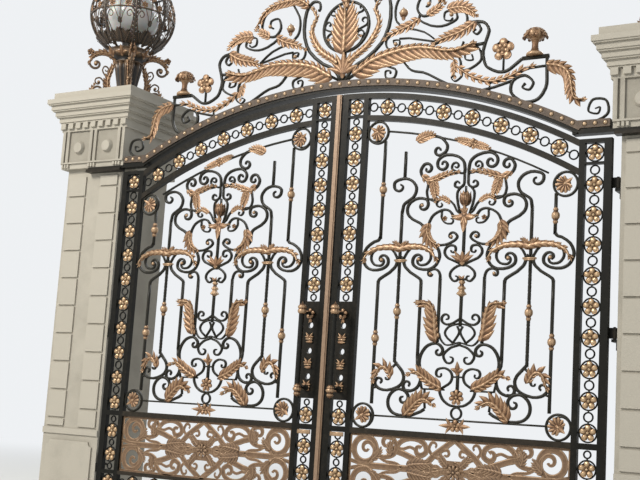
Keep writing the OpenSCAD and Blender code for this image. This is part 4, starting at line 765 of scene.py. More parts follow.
def heart_scrolls(d):
    """The heart about the middle stem."""
    d.scroll([0, 1000, 42, 1020, 94, 1040, 120, 1070, 116, 1100, 92, 1118, 60, 1116], (72, 1090), 250, 13)
    d.scroll([0, 1002, 40, 990, 74, 962, 80, 932, 60, 906], (42, 924), 250, 12)
    d.straight((0, 912), (32, 912), 12)
    d.scroll([76, 1300, 100, 1330, 138, 1340, 182, 1326, 216, 1300, 238, 1252, 238, 1206, 220, 1156,
              184, 1124, 120, 1124, 70, 1143, 44, 1168], (80, 1172), 290, 13)
    d.scroll([152, 1336, 152, 1290, 126, 1258, 92, 1252], (90, 1276), 200, 10)


def brow_scrolls(d):
    """The scrolls over the heart, up to the brow."""
    d.scroll([62, 1567, 120, 1558, 190, 1532, 250, 1530, 292, 1552, 308, 1591, 290, 1626], (262, 1600), 360)
    d.scroll([14, 1566, 13, 1590, 22, 1632, 52, 1662, 100, 1679, 150, 1680, 186, 1660], (156, 1624), 430)
    d.scroll([14, 1560, 40, 1562, 66, 1572, 96, 1590], (72, 1608), 400, 11)
    d.scroll([13, 1574, 12, 1530, 16, 1490, 42, 1472, 70, 1480], (54, 1498), 240, 13)
    d.vine([248, 1530, 258, 1478, 260, 1448, 248, 1415, 212, 1398, 178, 1400], 12)
    d.vine([26, 1300, 48, 1370, 56, 1420, 50, 1455, 16, 1490], 12)
    d.scroll([30, 1312, 54, 1330, 76, 1370, 112, 1400, 164, 1406, 190, 1386], (164, 1376), 260, 11)
    d.straight((166, 1405), (236, 1408), 11)
    d.straight((84, 1297), (0, 1297), 12)


def panel_bars():
    """The bars of a leaf's panel, and the centres of its corner rings."""
    d = Drawing()
    for part in (tee_scrolls, side_bars, side_scrolls, lower_scrolls, heart_scrolls, brow_scrolls):
        part(d)
    d.twice()
    for low, high in ((250, 375), (515, 540), (630, 920), (990, 1310)):
        d.straight((0, low), (0, high))
    d.straight((0, 1300), (0, 1480), 10)
    d.ring((0, 120), 76, 11)
    d.straight((-T_AXIS - T_REACH, SPRING_V - 5), (-T_AXIS - T_REACH, 1800))
    d.straight((T_AXIS + T_REACH, SPRING_V - 5), (T_AXIS + T_REACH, 1410))
    d.straight((-T_AXIS, 1545), (-T_AXIS, 1720))
    d.scroll([-330, 1784, -260, 1802, -216, 1804, -170, 1785, -138, 1745, -142, 1708, -170, 1686],
             (-192, 1714), 330)
    d.moved(PANEL_AXIS, MID_Z, PANEL_SX, PANEL_SZ)
    low_in = (PANEL_IN + CORNER_STEP, MID_Z + CORNER_STEP)
    low_out = (PANEL_OUT - CORNER_STEP, MID_Z + CORNER_STEP)
    corner_in = (low_in[0], arch_z(RAIL_LOW_R - CORNER_STEP, low_in[0]))
    corner_out = (low_out[0], arch_z(RAIL_LOW_R - CORNER_STEP, low_out[0]))
    for c, turn in ((low_in, 0), (low_out, 90), (corner_in, 270), (corner_out, 180)):
        d.ring(c, 2 * CORNER_R, 14)
        d.volute(c, CORNER_R - 8, 200 + turn, 11)
    a0 = degrees(np.arccos((PANEL_OUT - 2 * CORNER_STEP) / RAIL_LOW_R))
    a1 = degrees(np.arccos((PANEL_IN + 2 * CORNER_STEP) / RAIL_LOW_R))
    brow = walk((0, ARCH_Z0) + polar(BORDER_R, a0), a0 + 90, [(BORDER_R, a1 - a0)], 1.0)
    d.add("bar", brow, w=10)
    reach = 2 * CORNER_STEP - BORDER_LAP
    d.straight((PANEL_IN + reach, BORDER_Z), (PANEL_OUT - reach, BORDER_Z), 10)
    return d, (low_in, low_out, corner_in, corner_out)


def panel_leaves(corners):
    """The gold leaves and flowers of a leaf's panel."""
    d = Drawing()
    d.frond([-10, 1098, 50, 1112, 120, 1113, 170, 1104, 222, 1076, 244, 1040], 78, 5, 0.44, 0.36, lift=17.0,
            body=0.27)
    d.frond([6, 1098, 24, 1122, 48, 1144], 40, 3)
    d.beads(12, (128, 1036))
    d.twice()
    d.moved(T_AXIS, 0)
    d.frond([292, 1552, 250, 1520, 190, 1530, 120, 1556, 54, 1568], 66, 6, 0.45, 0.9, lift=12.0)
    d.frond([216, 1526, 204, 1470, 188, 1412], 58, 4, lift=11.0)
    d.frond([232, 1256, 238, 1206, 214, 1154, 164, 1122], 84, 5, 1.0, 0.5, lift=13.0)
    d.palm((4, 1020), 40, 92, 34, 16, 2)
    d.beads(11, (284, 1372), (206, 946), (80, 1172))
    d.frond([138, 545, 154, 620, 164, 700, 196, 762, 274, 770], 112, 7, 0.2, 1.1, lift=15.0, curl=20.0)
    d.frond([98, 262, 160, 288, 210, 320, 262, 352, 316, 338], 88, 6, 0.9, 0.6, lift=12.0)
    d.frond([328, 90, 288, 136, 240, 182, 196, 190, 142, 162], 92, 6, 0.6, 1.1, lift=13.0)
    d.frond([436, 312, 474, 368, 518, 364, 554, 290], 72, 5, 1.0, 0.5, lift=12.0)
    d.frond([96, 1378, 150, 1406, 192, 1390], 44, 4, 0.9, 0.5)
    d.flower((128, 1284), 17, 5)
    d.twice()
    for v, a, length, w, spread, blades in ((1296, -90, 104, 50, 70, 3), (1300, -90, 66, 30, 30, 2),
                                            (1020, 90, 62, 36, 0, 1), (362, 90, 62, 34, 58, 3),
                                            (1318, 90, 48, 30, 40, 3)):
        d.palm((0, v), a, length, w, spread, blades)
    d.flower((0, 213), 47, 7)
    for u, a in ((26, 0), (-26, 180)):
        d.palm((u, 46), a, 76, 27, 46, 3)
    d.flower((0, 46), 38, 5)
    d.frond([-342, 1780, -280, 1806, -222, 1814], 60, 5)
    d.moved(PANEL_AXIS, MID_Z, PANEL_SX, PANEL_SZ)
    low_in, low_out, corner_in, corner_out = corners
    for c, turn in ((low_in, 35), (low_out, 145), (corner_in, -35), (corner_out, -145)):
        u = polar(1, turn)
        d.shell(c - 4 * u, turn, 62, 9)
        d.palm(c + 2 * u, turn + 180, 58, 30, 40, 3)
        d.beads(11, c - 2 * u)
    c = (0, ARCH_Z0) + polar(BORDER_R + 6, BROW_FLOWER_TURN)
    d.flower(c, 34)
    for turn in (-18, 162):
        d.leaf(c, turn, 116, 44)
    return d


# A gold drop on the middle stem, as radii and heights, and the collars on the side bars
DROP = [(1, -64), (12, -62), (20, -54), (33, -48), (31, -42), (20, -30), (17, -20), (27, -14), (24, -6),
        (14, 4), (12, 12), (22, 24), (17, 32), (8, 40), (16, 48), (9, 55), (1, 56)]
COLLAR = [(9, -52), (13, -44), (17, -36), (13, -28), (16, -22), (24, -12), (26, 0), (24, 12), (16, 22),
          (13, 28), (17, 36), (13, 44), (9, 52)]
# The collar's relief per profile point: its widest rings painted pale as highlight, its necks painted dark as
# shade.
COLLAR_RELIEF = [0.3, 0.5, 0.8, 0.2, 0.3, 0.8, 1.0, 0.8, 0.3, 0.2, 0.8, 0.5, 0.3]
COLLARS = [(-T_AXIS - T_REACH, 1485), (T_AXIS + T_REACH, 1279), (-T_AXIS - T_REACH, 551),
           (T_AXIS + T_REACH, 551), (-STEM_U, 717), (STEM_U, 717)]
# The vase's rows of scales: height, radius and length of a scale
SCALE_ROWS = ((-40, 16, 34), (-14, 30, 38), (14, 30, 34))


def in_panel(u, v):
    return PANEL_AXIS + u * PANEL_SX, MID_Z + v * PANEL_SZ


def turned_bits(pile):
    """The gold drop and scaled vase on the middle stem, the pale ledges, and the side scrolls' flowers."""
    x, z = in_panel(0, 870)
    # The drop's wider parts painted pale as highlight, its narrow ones dark as shade.
    lathe(pile, DROP, 20, (x, 0, z), 5, 0.22, [0.3 + 0.6 * (r > 15) for r, h in DROP])
    for k in (-1, 1):
        tongue(pile, (x, z + 46), 90 - k * 58, 30, 17, k * 40, -9, 3, 5, 5)
    x, z = in_panel(0, 1400)
    vase = [(1, -46)] + dome(40, 44, range(-75, 80, 15)) + [(1, 46)]
    lathe(pile, vase, 24, (x, -2, z), 8, 0.16, [0.25] * len(vase))
    for row, (dz, r, long) in enumerate(SCALE_ROWS):
        scale = Pile()
        tongue(scale, (0, 0), 90, long, 26, 8, 0, 2, 5, 5)
        for k in range(5):
            turn = (k - 2) * 44 + 22 * (row % 2)
            dx, dy = polar(r, turn - 90)
            pile.merge(scale, placed((x + dx, dy - 2, z + dz), turn))
    for u, v, reach in ((0, 1299, 86), (-T_AXIS, 1033, 40), (T_AXIS, 1033, 40)):
        x, z = in_panel(u, v)
        for dz, w, h in ((0, reach, 5.5), (-9, reach * 0.8, 4)):
            sweep(pile, [(x - w, z + dz), (x + w, z + dz)], h, 11, -2, relief=0.95)
    for u in (-T_AXIS, T_AXIS):
        blossom(pile, in_panel(u, 1112), -8.0, 22)


def leaf_infill(side, body):
    bars, gold, collars = Pile(), Pile(), Pile()
    drawing, corners = panel_bars()
    build_bars(bars, drawing)
    build_ornament(gold, panel_leaves(corners), LEAF_Y)
    turned_bits(gold)
    for u, v in COLLARS:
        x, z = in_panel(u, v)
        lathe(collars, COLLAR, 24, (x, 0, z), 8, 0.1, COLLAR_RELIEF)
    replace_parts(bars.make(body + "_forged_scrolls", IRON, body, side, slot="dark_iron"), body + "_scrollwork")
    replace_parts(gold.make(body + "_carved_leaves", GOLD, body, side, slot="gilding"), body + "_foliage")
    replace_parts(collars.make(body + "_turned_collars", GOLD, body, side, slot="gilding"), body + "_collars")


# The handles and lock plates
HANDLE_Z, HANDLE_HALF, HANDLE_Y, HANDLE_R, HOLE_PITCH = 1100.0, 295.0, -127.0, 14, 162.0
ARM_IN, KNOB_IN = 60, 38
PLATE_FACE, ROSE_FACE, RAIL_FACE = -20, -26.0, -16
TOP_KNOB = [(1, -36), (15, -34), (24, -30), (29, -20), (27, -9), (22, -3), (29, 4), (27, 14), (19, 24),
            (9, 31), (5, 38), (1, 44)]
LOW_KNOB = [(1, -40), (8, -36), (19, -28), (23, -18), (16, -8), (20, -4), (28, 4), (28, 14), (20, 22),
            (24, 28), (16, 36), (14, 42), (1, 44)]
ARM = [(7, 0), (9, 6), (8, 50), (10, 92), (20, 98), (20, 104), (2, 105)]


def handle(side, body):
    """A black tube between gilt knobs, on two arms, with cast ornaments on the lock plate behind it."""
    bar, gold = Pile(), Pile()
    lathe(bar, [(HANDLE_R, h) for h in np.linspace(34 - HANDLE_HALF, HANDLE_HALF - 40, 14)], 24,
          (MEET_COL, HANDLE_Y, HANDLE_Z))
    arm = Pile()
    # The arm's pad painted paler as highlight.
    lathe(arm, ARM, 20, relief=[0.3, 0.4, 0.3, 0.4, 0.7, 0.5, 0.3])
    for s, knob in ((1, TOP_KNOB), (-1, LOW_KNOB)):
        # The knobs' wider parts and tops painted pale as highlight, their narrow parts dark as shade.
        lathe(gold, knob, 28, (MEET_COL, HANDLE_Y, HANDLE_Z + s * (HANDLE_HALF - KNOB_IN)), 10, 0.06,
              [0.2] + [0.25 + 0.5 * (r > 22) for r, h in knob[1:-1]] + [0.9])
        bar.merge(arm, placed((MEET_COL, HANDLE_Y, HANDLE_Z + s * (HANDLE_HALF - ARM_IN)), -90, "X"))
    z = HANDLE_Z + HANDLE_HALF - ARM_IN
    blossom(gold, (MEET_COL, z), ROSE_FACE, 33)
    palm(gold, (MEET_COL, z - 32), PLATE_FACE, -90, 34, 16, 30, 2, 4.0, 3.0)
    for k in (0.5, -0.5, -1.36):
        x, z = MEET_COL, HANDLE_Z + k * HOLE_PITCH
        for s in (-1, 1):
            tongue(gold, (x + 5 * s, z - 4), 90 - 16 * s, 42, 19, -30 * s, PLATE_FACE, 4.0, 7.0, 5.0, 0, 0.72)
            tongue(gold, (x + 9 * s, z + 2), 90 - 64 * s, 24, 14, -30 * s, PLATE_FACE, 4.0, 5.0, 3.0, 0, 0.6)
        sweep(gold, [(x - 24, z - 8), (x + 24, z - 8)], 5, 5.5, PLATE_FACE, relief=0.8)
        tongue(gold, (x - 25, z - 25), 0, 50, 19, 0, PLATE_FACE, 4.0, 6.0, 0.0, 0, 0.5)
    sweep(gold, [(MEET_COL - 46, MID_LOW - 15), (MEET_COL + 46, MID_LOW - 15)], 13, 5, RAIL_FACE, relief=0.75)
    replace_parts(bar.make(body + "_pull_bar", IRON, body, side, slot="dark_iron"), body + "_handle")
    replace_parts(gold.make(body + "_pull_knobs", GOLD, body, side, slot="gilding"), body + "_handle")


# The pierced panels at the foot: drawn about their middle, a quarter at a time
STRAP_BROAD, STRAP_D, STRAP_HALF_H, STRAP_EDGE = 1.2, 6.0, 188, 6


def strapwork(side, body):
    """A leaf's pierced foot panel, its straps a hair apart in depth so that no two faces share a plane."""
    d = Drawing()
    d.ring((592, 96), 184, 32)
    d.scroll([566, 14, 532, 60, 528, 104, 556, 136], (580, 104), 290, 22)
    d.scroll([522, 60, 446, 58, 392, 80, 378, 126, 402, 168, 446, 178], (444, 144), 280, 24)
    d.scroll([396, 104, 352, 156, 300, 178, 240, 176, 194, 150, 182, 108, 212, 84], (224, 118), 240, 28)
    d.vine([400, 104, 330, 86, 240, 54, 150, 22, 60, 0], 32)
    d.vine([384, 118, 334, 114, 290, 128, 256, 116], 16)
    d.vine([0, 190, 62, 142, 126, 94, 172, 46, 214, 0], 32)
    d.scroll([140, 88, 164, 124, 152, 158], (130, 144), 200, 17)
    d.scroll([84, 122, 46, 126, 34, 108], (54, 104), 160, 18)
    d.vine([132, 84, 72, 62, 0, 58], 14)
    d.straight((0, 0), (590, 0), 34)
    d.vine([330, 0, 380, 26, 452, 34, 520, 70], 16)
    d.vine([560, 10, 620, 8, 690, 24], 20)
    d.ring((116, 0), 76, 18)
    for p, a, length, w, bend, n in (((300, 20), 168, 150, 60, 10, 5), ((410, 70), 60, 96, 44, 70, 4),
                                     ((540, 40), 150, 90, 44, -40, 4), ((40, 30), 40, 90, 44, 20, 4)):
        d.leaf(p, a, length, w, bend, n, lift=5.0, curl=3.0)
    d.twice()
    d.twice(flip=(1, -1))
    d.ring((0, 0), 124, 20)
    d.flower((0, 0), 46, 8, h=10.0)
    d.moved(PANEL_AXIS, (SILL_TOP + MID_LOW) / 2, PANEL_SX, (MID_LOW - SILL_TOP) / 2 / STRAP_HALF_H)
    x0, x1, z0, z1 = (PANEL_IN + STRAP_EDGE, PANEL_OUT - STRAP_EDGE, SILL_TOP + STRAP_EDGE,
                      MID_LOW - STRAP_EDGE)
    for p, q in (((x0, z0), (x1, z0)), ((x0, z1), (x1, z1)), ((x0, z0), (x0, z1)), ((x1, z0), (x1, z1))):
        d.straight(p, q, 14)
    pile = Pile()
    for i, s in enumerate(d.strokes):
        if s["kind"] in ("bar", "ring"):
            s["w"] *= STRAP_BROAD
        one = Drawing()
        one.strokes = [s]
        build_bars(pile, one, -0.25 * (i % 7), STRAP_D, STRAP_SECTION, 1.0)
        build_ornament(pile, one, -STRAP_D / 2)
    straps = pile.make(body + "_pierced_straps", BRONZE, body, side, slot="bronzed_iron")
    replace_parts(straps, body + "_strapwork")


# The crest, drawn from the middle of the overthrow's top
WREATH_Z, WREATH_R, LEDGE_Z, BLOCK_Z = 378, 180, 24, 2464.0 - CREST_BASE
FINIAL_X, BUD_X, BUD_Z = 1315, 1118, CREST_BASE + 91
FINIAL_FOOT = [(1, 0), (52, 0), (52, 12), (46, 20), (28, 30), (20, 50), (19, 78), (25, 98), (46, 112),
               (40, 118), (2, 120)]
FINIAL_BALL = [(1, 96), (40, 104), (66, 122), (62, 146), (34, 170), (1, 182)]
# The blooms about a finial, in turn high and low: radius, height and lean
BLOOMS, BLOOM_RINGS = 14, ((36, 156, -60), (62, 128, -28))


def crest_bars():
    """The crest's bars: the stem and wreath, then outwards along the beam."""
    d = Drawing()
    d.straight((0, -10), (0, WREATH_Z - WREATH_R + 6), 22)
    d.vine([14, -12, 40, 52, 90, 104, 172, 146, 261, 224, 307, 302, 328, 400, 318, 520, 272, 582, 218, 574,
            210, 530, 226, 516], 20, True)
    d.scroll([4, 214, 60, 222, 112, 258, 138, 312], (104, 318), 320, 10)
    d.scroll([10, 300, 62, 316, 96, 350, 150, 372], (132, 404), 320, 10)
    d.scroll([6, 410, 46, 428, 84, 462, 112, 470], (106, 496), 300, 9)
    d.vine([296, 560, 360, 600, 430, 610, 520, 603, 600, 580, 660, 532, 672, 450, 622, 390, 558, 380,
            518, 434, 540, 500, 600, 494, 602, 450, 576, 438], 14, True)
    d.vine([440, 606, 400, 545, 370, 491, 361, 435, 374, 369, 425, 316], 12)
    d.vine([540, 392, 536, 360, 574, 330, 639, 302, 717, 297, 796, 330, 780, 386, 716, 384, 714, 336,
            752, 324, 770, 342], 12, True)
    d.vine([538, 362, 472, 324, 417, 308, 350, 284, 306, 246, 322, 192, 388, 184, 404, 234, 360, 240,
            370, 210], 11, True)
    d.vine([440, 312, 528, 290, 594, 260, 668, 200], 10)
    d.vine([402, 248, 470, 244, 560, 222, 668, 196], 10)
    d.vine([744, 399, 800, 396, 862, 350, 860, 274, 811, 236, 722, 208, 650, 182], 13)
    d.vine([1262, LEDGE_Z, 1232, 20, 1155, -36, 1100, -45, 1045, -25, 1003, 10, 982, 90, 996, 158,
            1016, 232, 980, 284, 906, 295, 880, 276, 893, 262, 936, 282, 962, 244, 938, 214, 912, 232,
            928, 250], 16, True)
    d.straight((1240, LEDGE_Z), (1406, LEDGE_Z), 20)
    d.vine([1394, LEDGE_Z + 8, 1394, -60, 1394, -160, 1352, -230, 1290, -249, 1232, -234, 1174, -176,
            1186, -106, 1256, -82, 1312, -126, 1290, -172, 1246, -156, 1264, -130], 16, True)
    d.straight((1118, -46), (1118, 96), 9)
    d.vine([440, 92, 500, 28, 594, 2, 694, -53, 806, -109, 950, -146, 1044, -140, 1178, -108], 13)
    d.vine([180, 118, 262, 96, 333, 70, 388, 42, 376, -8, 322, -4, 314, 40, 348, 40, 346, 20], 12, True)
    d.vine([808, 118, 836, 50, 842, -4, 905, -2, 972, 48, 950, 126, 872, 122, 868, 62, 916, 52, 910, 88],
           12, True)
    d.vine([840, 6, 848, -42, 806, -74, 778, -48, 804, -34], 10, True)
    d.vine([830, 4, 872, -31, 928, -65, 983, -87, 1039, -104, 1117, -98, 1194, -76, 1250, -48, 1306, -37,
            1400, -36], 12)
    d.straight((1035, -100), (1035, -190), 8)
    d.vine([1394, -36, 1472, -48, 1517, -76, 1541, -120, 1552, -176, 1563, -231, 1586, -262, 1625, -268],
           12)
    d.vine([40, 20, 139, 72, 217, 118, 328, 150, 439, 170, 550, 172, 661, 150, 750, 128, 806, 122, 883, 140,
            994, 150], 16)
    d.vine([800, 120, 838, 146, 850, 176], 10)
    d.vine([1640, BLOCK_Z + 2, 1710, BLOCK_Z + 3, 1768, BLOCK_Z + 44, 1752, BLOCK_Z + 118,
            1676, BLOCK_Z + 126, 1652, BLOCK_Z + 62, 1706, BLOCK_Z + 42, 1720, BLOCK_Z + 78,
            1690, BLOCK_Z + 72], 12, True)
    d.twice()
    d.ring((0, WREATH_Z), 2 * WREATH_R, 18)
    return d.moved(0, CREST_BASE)


def crest_leaves():
    """The gold leaves of the crest's scrolls."""
    d = Drawing()
    d.frond([80, 44, 150, 84, 217, 122, 328, 152, 439, 168, 550, 170, 661, 148, 750, 126, 830, 126,
             928, 152], 158, 15, 0.34, 1.1, lift=17.0)
    d.frond([292, 560, 360, 606, 430, 616, 520, 609, 600, 586, 662, 540, 690, 480, 706, 455], 88, 11, 0.55,
            1, lift=14.0)
    d.frond([735, 398, 800, 402, 850, 392, 895, 366, 935, 330], 76, 6)
    d.frond([925, 292, 872, 258, 806, 232, 728, 212, 650, 180], 76, 6)
    d.frond([540, 364, 472, 326, 417, 308, 350, 282, 306, 256], 64, 5)
    d.frond([596, 376, 650, 404, 712, 436], 56, 3)
    d.frond([826, 8, 872, -27, 928, -61, 983, -83, 1039, -98, 1117, -92, 1194, -70, 1250, -42, 1306, -31],
            56, 8, 0.8, 0.7)
    d.frond([1398, -30, 1472, -46, 1517, -76, 1541, -120, 1552, -176, 1563, -231, 1580, -258, 1628, -266],
            88, 8, 0.6, 1.2, lift=14.0)
    d.palm((428, 388), 90, 62, 40, 34, 3)
    d.beads(27, (428, 416))
    d.beads(14, (762, 360), (380, 212), (602, 452))
    d.frond([792, 60, 800, 8, 806, -46], 50, 2)
    d.twice()
    return d.moved(0, CREST_BASE)


def wreath_leaves():
    """The gold leaves of the crest's middle."""
    d = Drawing()
    d.frond([40, 128, 94, 168, 172, 222, 226, 291, 254, 358, 246, 413, 224, 469, 262, 535], 78, 12, 0.62,
            0.62, lift=15.0, body=0.26)
    d.leaf((0, WREATH_Z - 168), 62, 150, 50, -50, 4)
    d.twice()
    d.frond([0, WREATH_Z - 176, 0, WREATH_Z, 0, WREATH_Z + 130], 176, 6, lift=17.0)
    d.palm((0, WREATH_Z - 322), 90, 168, 48, 58, 7)
    d.frond([0, WREATH_Z + WREATH_R - 14, 0, WREATH_Z + 240, 0, WREATH_Z + 320], 110, 6, lift=14.0)
    return d.moved(0, CREST_BASE)


def finial(pile, side):
    """A flower finial on its ledge, and the double flower beside it."""
    x, z = side * FINIAL_X, CREST_BASE + LEDGE_Z + 8
    # The finial foot's outer rims painted pale as highlight, its necks dark as shade.
    lathe(pile, FINIAL_FOOT, 28, (x, 0, z), relief=[0.3, 0.5, 0.9, 0.6, 0.3, 0.4, 0.5, 0.6, 0.9, 0.4, 0.2])
    bloom = Pile()
    blossom(bloom, (0, 0), 0, 27)
    for k in range(BLOOMS):
        r, up, lean = BLOOM_RINGS[k % 2]
        turn = 360 / BLOOMS * k
        dx, dy = polar(r, turn)
        pile.merge(bloom, placed((x + dx, 0.8 * dy, z + up), turn + 90) @ placed((0, 0, 0), lean, "X"))
    lathe(pile, FINIAL_BALL, 24, (x, 0, z), 8, 0.15)
    for y, r, h, turn in ((0, 72, 20.0, 90.0), (-10, 40, 14.0, 54.0)):
        blossom(pile, (side * BUD_X, BUD_Z), y - SCROLL_D / 2, r, 5, h, turn)


def crest():
    bars, gold, wreath, finials = Pile(), Pile(), Pile(), Pile()
    build_bars(bars, crest_bars())
    build_ornament(gold, crest_leaves(), LEAF_Y)
    build_ornament(wreath, wreath_leaves(), LEAF_Y)
    for side in (-1, 1):
        finial(finials, side)
    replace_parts(bars.make("crest_forged_scrolls", IRON, "gateway", slot="dark_iron"), "crest_scrolls")
    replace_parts(gold.make("crest_carved_leaves", GOLD, "gateway", slot="gilding"), "crest_foliage")
    palmette = wreath.make("crest_carved_palmette", GOLD, "gateway", slot="gilding")
    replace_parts(palmette, "crest_wreath_palmette")
    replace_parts(finials.make("crest_flower_finials", GOLD, "gateway", slot="gilding"), "crest_finials")


# The lamps: profiles are radii and heights, the stand's from its foot, the cage's from the globe's middle
ARMS, ARM_TURN, ARM_D, TRIM_Y = 4, 45, 15.0, -6.0
RIBS, RIB_FROM, RIB_TO, RIB_HALF_W, RIB_HALF_D = 8, -62, 86, 6.5, 7.0
BAY_R, BAY_D = CAGE_R - 4, 7.0
DISH_LEAVES, DISH_LEAF_AT, DISH_LEAF_LEAN = 10, (0, -146, 352), 28
LAMP_X, LAMP_Y = 2108.0, 278.0
STAND_FOOT = [(4, 0.5), (116, 0.5), (118, 6), (118, 18), (112, 24), (92, 34), (80, 46), (74, 60), (66, 64)]
STAND_BODY = [(60, 58), (74, 66), (73, 90), (88, 170), (104, 250), (114, 306), (60, 314)]
STAND_DISH = [(60, 300), (112, 306), (108, 316), (104, 324), (126, 340), (150, 354), (155, 366), (155, 380),
              (150, 395), (72, 399), (66, 412), (66, 490), (56, 494)]
# The dish's relief per profile point: its outer rims painted pale as highlight, its necks dark as shade.
DISH_RELIEF = [0.2, 0.8, 0.3, 0.3, 0.6, 0.8, 0.9, 0.9, 0.7, 0.3, 0.3, 0.4, 0.2]
CAGE_BANDS = ((-285.4, 16), (-22.4, 10), (204.8, 12))
BAND_IN, BAND_OUT, BAND_RIDGE = -8, 3, 6
CAGE_TOP = [(4, 292), (74, 294), (76, 300), (60, 316), (44, 326), (24, 346), (30, 360), (46, 374), (46, 392),
            (30, 404), (20, 414), (27, 426), (16, 448), (2, 475)]


def on_sphere(flat, radius):
    """Wraps a pile drawn flat, its front to -y, onto a sphere about the origin."""
    v = np.concatenate(flat.v)
    lat = v[:, 2] / radius
    lon = v[:, 0] / (radius * np.maximum(np.cos(lat), 0.2))
    rho = (radius - v[:, 1]) * np.cos(lat)
    ball = Pile()
    ball.v = [np.stack([rho * np.sin(lon), -rho * np.cos(lon), (radius - v[:, 1]) * np.sin(lat)], axis=1)]
    ball.w, ball.f, ball.n = flat.w, flat.f, flat.n
    return ball


def around(pile, part, count, centre, first=0.0):
    for k in range(count):
        pile.merge(part, placed(centre, first + 360 / count * k))


def both_faces(part):
    whole = Pile()
    whole.merge(part, Matrix.Identity(4))
    whole.merge(part, Matrix.Scale(-1, 4, (0, 1, 0)))
    return whole


def lamp_bay():
    """The scrolls and leaves between two ribs of a lamp's cage."""
    d = Drawing()
    d.vine([0, -150, -24, -80, -54, -16], 6)
    d.scroll([-14, -236, -62, -214, -92, -150, -104, -90, -84, -50], (-78, -82), 300, 8)
    d.scroll([-60, 0, -96, 40, -104, 100, -80, 150], (-66, 122), 300, 8)
    d.vine([-20, 84, -54, 130, -62, 190, -40, 240], 7)
    d.frond([-20, -300, -46, -250, -66, -206], 54, 4)
    d.frond([-94, -40, -104, 10, -98, 60], 20, 4)
    d.twice()
    d.straight((0, -200), (0, 40), 6)
    d.frond([0, -300, 0, -250, 0, -196], 76, 5)
    d.frond([0, -150, 0, -132, 0, -112], 30, 2)
    d.frond([0, 120, 0, 190, 0, 260], 52, 4)
    return d


def lamp_arm():
    """The scrolls of an arm of a lamp's stand, and its gold."""
    d = Drawing()
    d.scroll([96, 322, 150, 356, 216, 358, 272, 330, 298, 284], (250, 278), 400, 15)
    d.vine([98, 40, 132, 96, 142, 160, 126, 232, 108, 296], 11)
    d.scroll([118, 8, 190, 8, 240, 24, 258, 62], (214, 64), 380, 13)
    d.scroll([150, 14, 178, 70, 176, 130, 206, 168, 238, 160], (218, 136), 300, 9)
    d.scroll([142, 170, 176, 196, 196, 232, 184, 262], (170, 238), 300, 9)
    gold = Drawing()
    gold.frond([96, 322, 150, 360, 216, 364, 276, 330, 300, 284], 62, 7, 0.9, 0.5)
    gold.frond([104, 30, 140, 96, 148, 160, 130, 232, 112, 306], 58, 7, 0.6, 1.0)
    gold.frond([230, 20, 262, 60, 250, 108], 36, 3)
    gold.flower((296, 366), 27, 5)
    gold.beads(15, (250, 278))
    gold.beads(10, (214, 64), (218, 136))
    return d, gold


def lamp_stand(iron, gold, foot):
    """The fluted stand, its dish with a ring of gold leaves, and four scrolled arms."""
    lathe(iron, STAND_FOOT, 48, foot)
    # The stand's rims painted pale as highlight.
    lathe(iron, STAND_BODY, 96, foot, 12, 0.17, [0.3, 0.8, 0.5, 0.45, 0.45, 0.8, 0.2])
    lathe(iron, STAND_DISH, 48, foot, relief=DISH_RELIEF)
    bars, leaves = lamp_arm()
    arm, trim, flat, leaf = Pile(), Pile(), Pile(), Pile()
    build_bars(arm, bars, 0.0, ARM_D)
    build_ornament(trim, leaves, TRIM_Y)
    around(iron, arm, ARMS, foot, ARM_TURN)
    around(gold, both_faces(trim), ARMS, foot, ARM_TURN)
    palm(flat, (0, 0), 0, 90, 70, 34, 58, 3)
    leaf.merge(flat, placed(DISH_LEAF_AT, DISH_LEAF_LEAN, "X"))
    around(gold, leaf, DISH_LEAVES, foot, 180 / DISH_LEAVES)


def lamp_cage(cage, gold, centre):
    """Leafed ribs about the globe, three bands, a scrolled bay between each two ribs, and the top knop."""
    rib, clad, bay, roses = Pile(), Pile(), Pile(), Pile()
    sweep(rib, [polar(CAGE_R, a) for a in np.linspace(RIB_FROM, RIB_TO, 40)], RIB_HALF_W, RIB_HALF_D)
    around(cage, rib, RIBS, centre)
    for z, h in CAGE_BANDS:
        r = sqrt(CAGE_R ** 2 - z * z)
        section = ((BAND_IN, -1), (BAND_OUT, -1), (BAND_RIDGE, 0), (BAND_OUT, 1), (BAND_IN, 1), (BAND_IN, -1))
        # The band's ridge painted pale as highlight, its edges dark as shade.
        lathe(cage, [(r + out, z + up * h / 2) for out, up in section], 64, centre,
              relief=[0.2, 0.6, 0.9, 0.6, 0.2, 0.2], caps=False)
    leaves = Drawing()
    leaves.frond([0, -330, 0, -200, 0, -60, 0, 120, 0, 300, 0, 400], 36, 18, body=0.2)
    build_ornament(clad, leaves, TRIM_Y)
    around(cage, on_sphere(clad, CAGE_R - 2), RIBS, centre)
    build_bars(bay, lamp_bay(), 0.0, BAY_D, ROD_SECTION)
    build_ornament(bay, lamp_bay(), -3.0)
    around(cage, on_sphere(bay, BAY_R), RIBS, centre, 180 / RIBS)
    for c, r, h in (((0, 66), 31, 12.0), ((-62, 4), 25, 11.0), ((62, 4), 25, 11.0)):
        blossom(roses, c, -4.0, r, 6, h)
    around(gold, on_sphere(roses, BAY_R), RIBS, centre, 180 / RIBS)
    lathe(cage, CAGE_TOP, 48, centre, 8, 0.08)


def lamp(side, name):
    iron, cage, gold = Pile(), Pile(), Pile()
    lamp_stand(iron, gold, (LAMP_X, LAMP_Y, PIER_TOP))
    lamp_cage(cage, gold, (LAMP_X, LAMP_Y, LAMP_Z))
    stand = iron.make(name + "_forged_stand", LAMP_IRON, "gateway", side, slot="dark_iron")
    wrought = cage.make(name + "_wrought_cage", LAMP_IRON, "gateway", side, slot="dark_iron")
    roses = gold.make(name + "_gilt_roses", GOLD, "gateway", side, slot="gilding")
    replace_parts(stand, name + "_socle")
    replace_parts(wrought, name + "_cage")
    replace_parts(roses, name + "_cage")


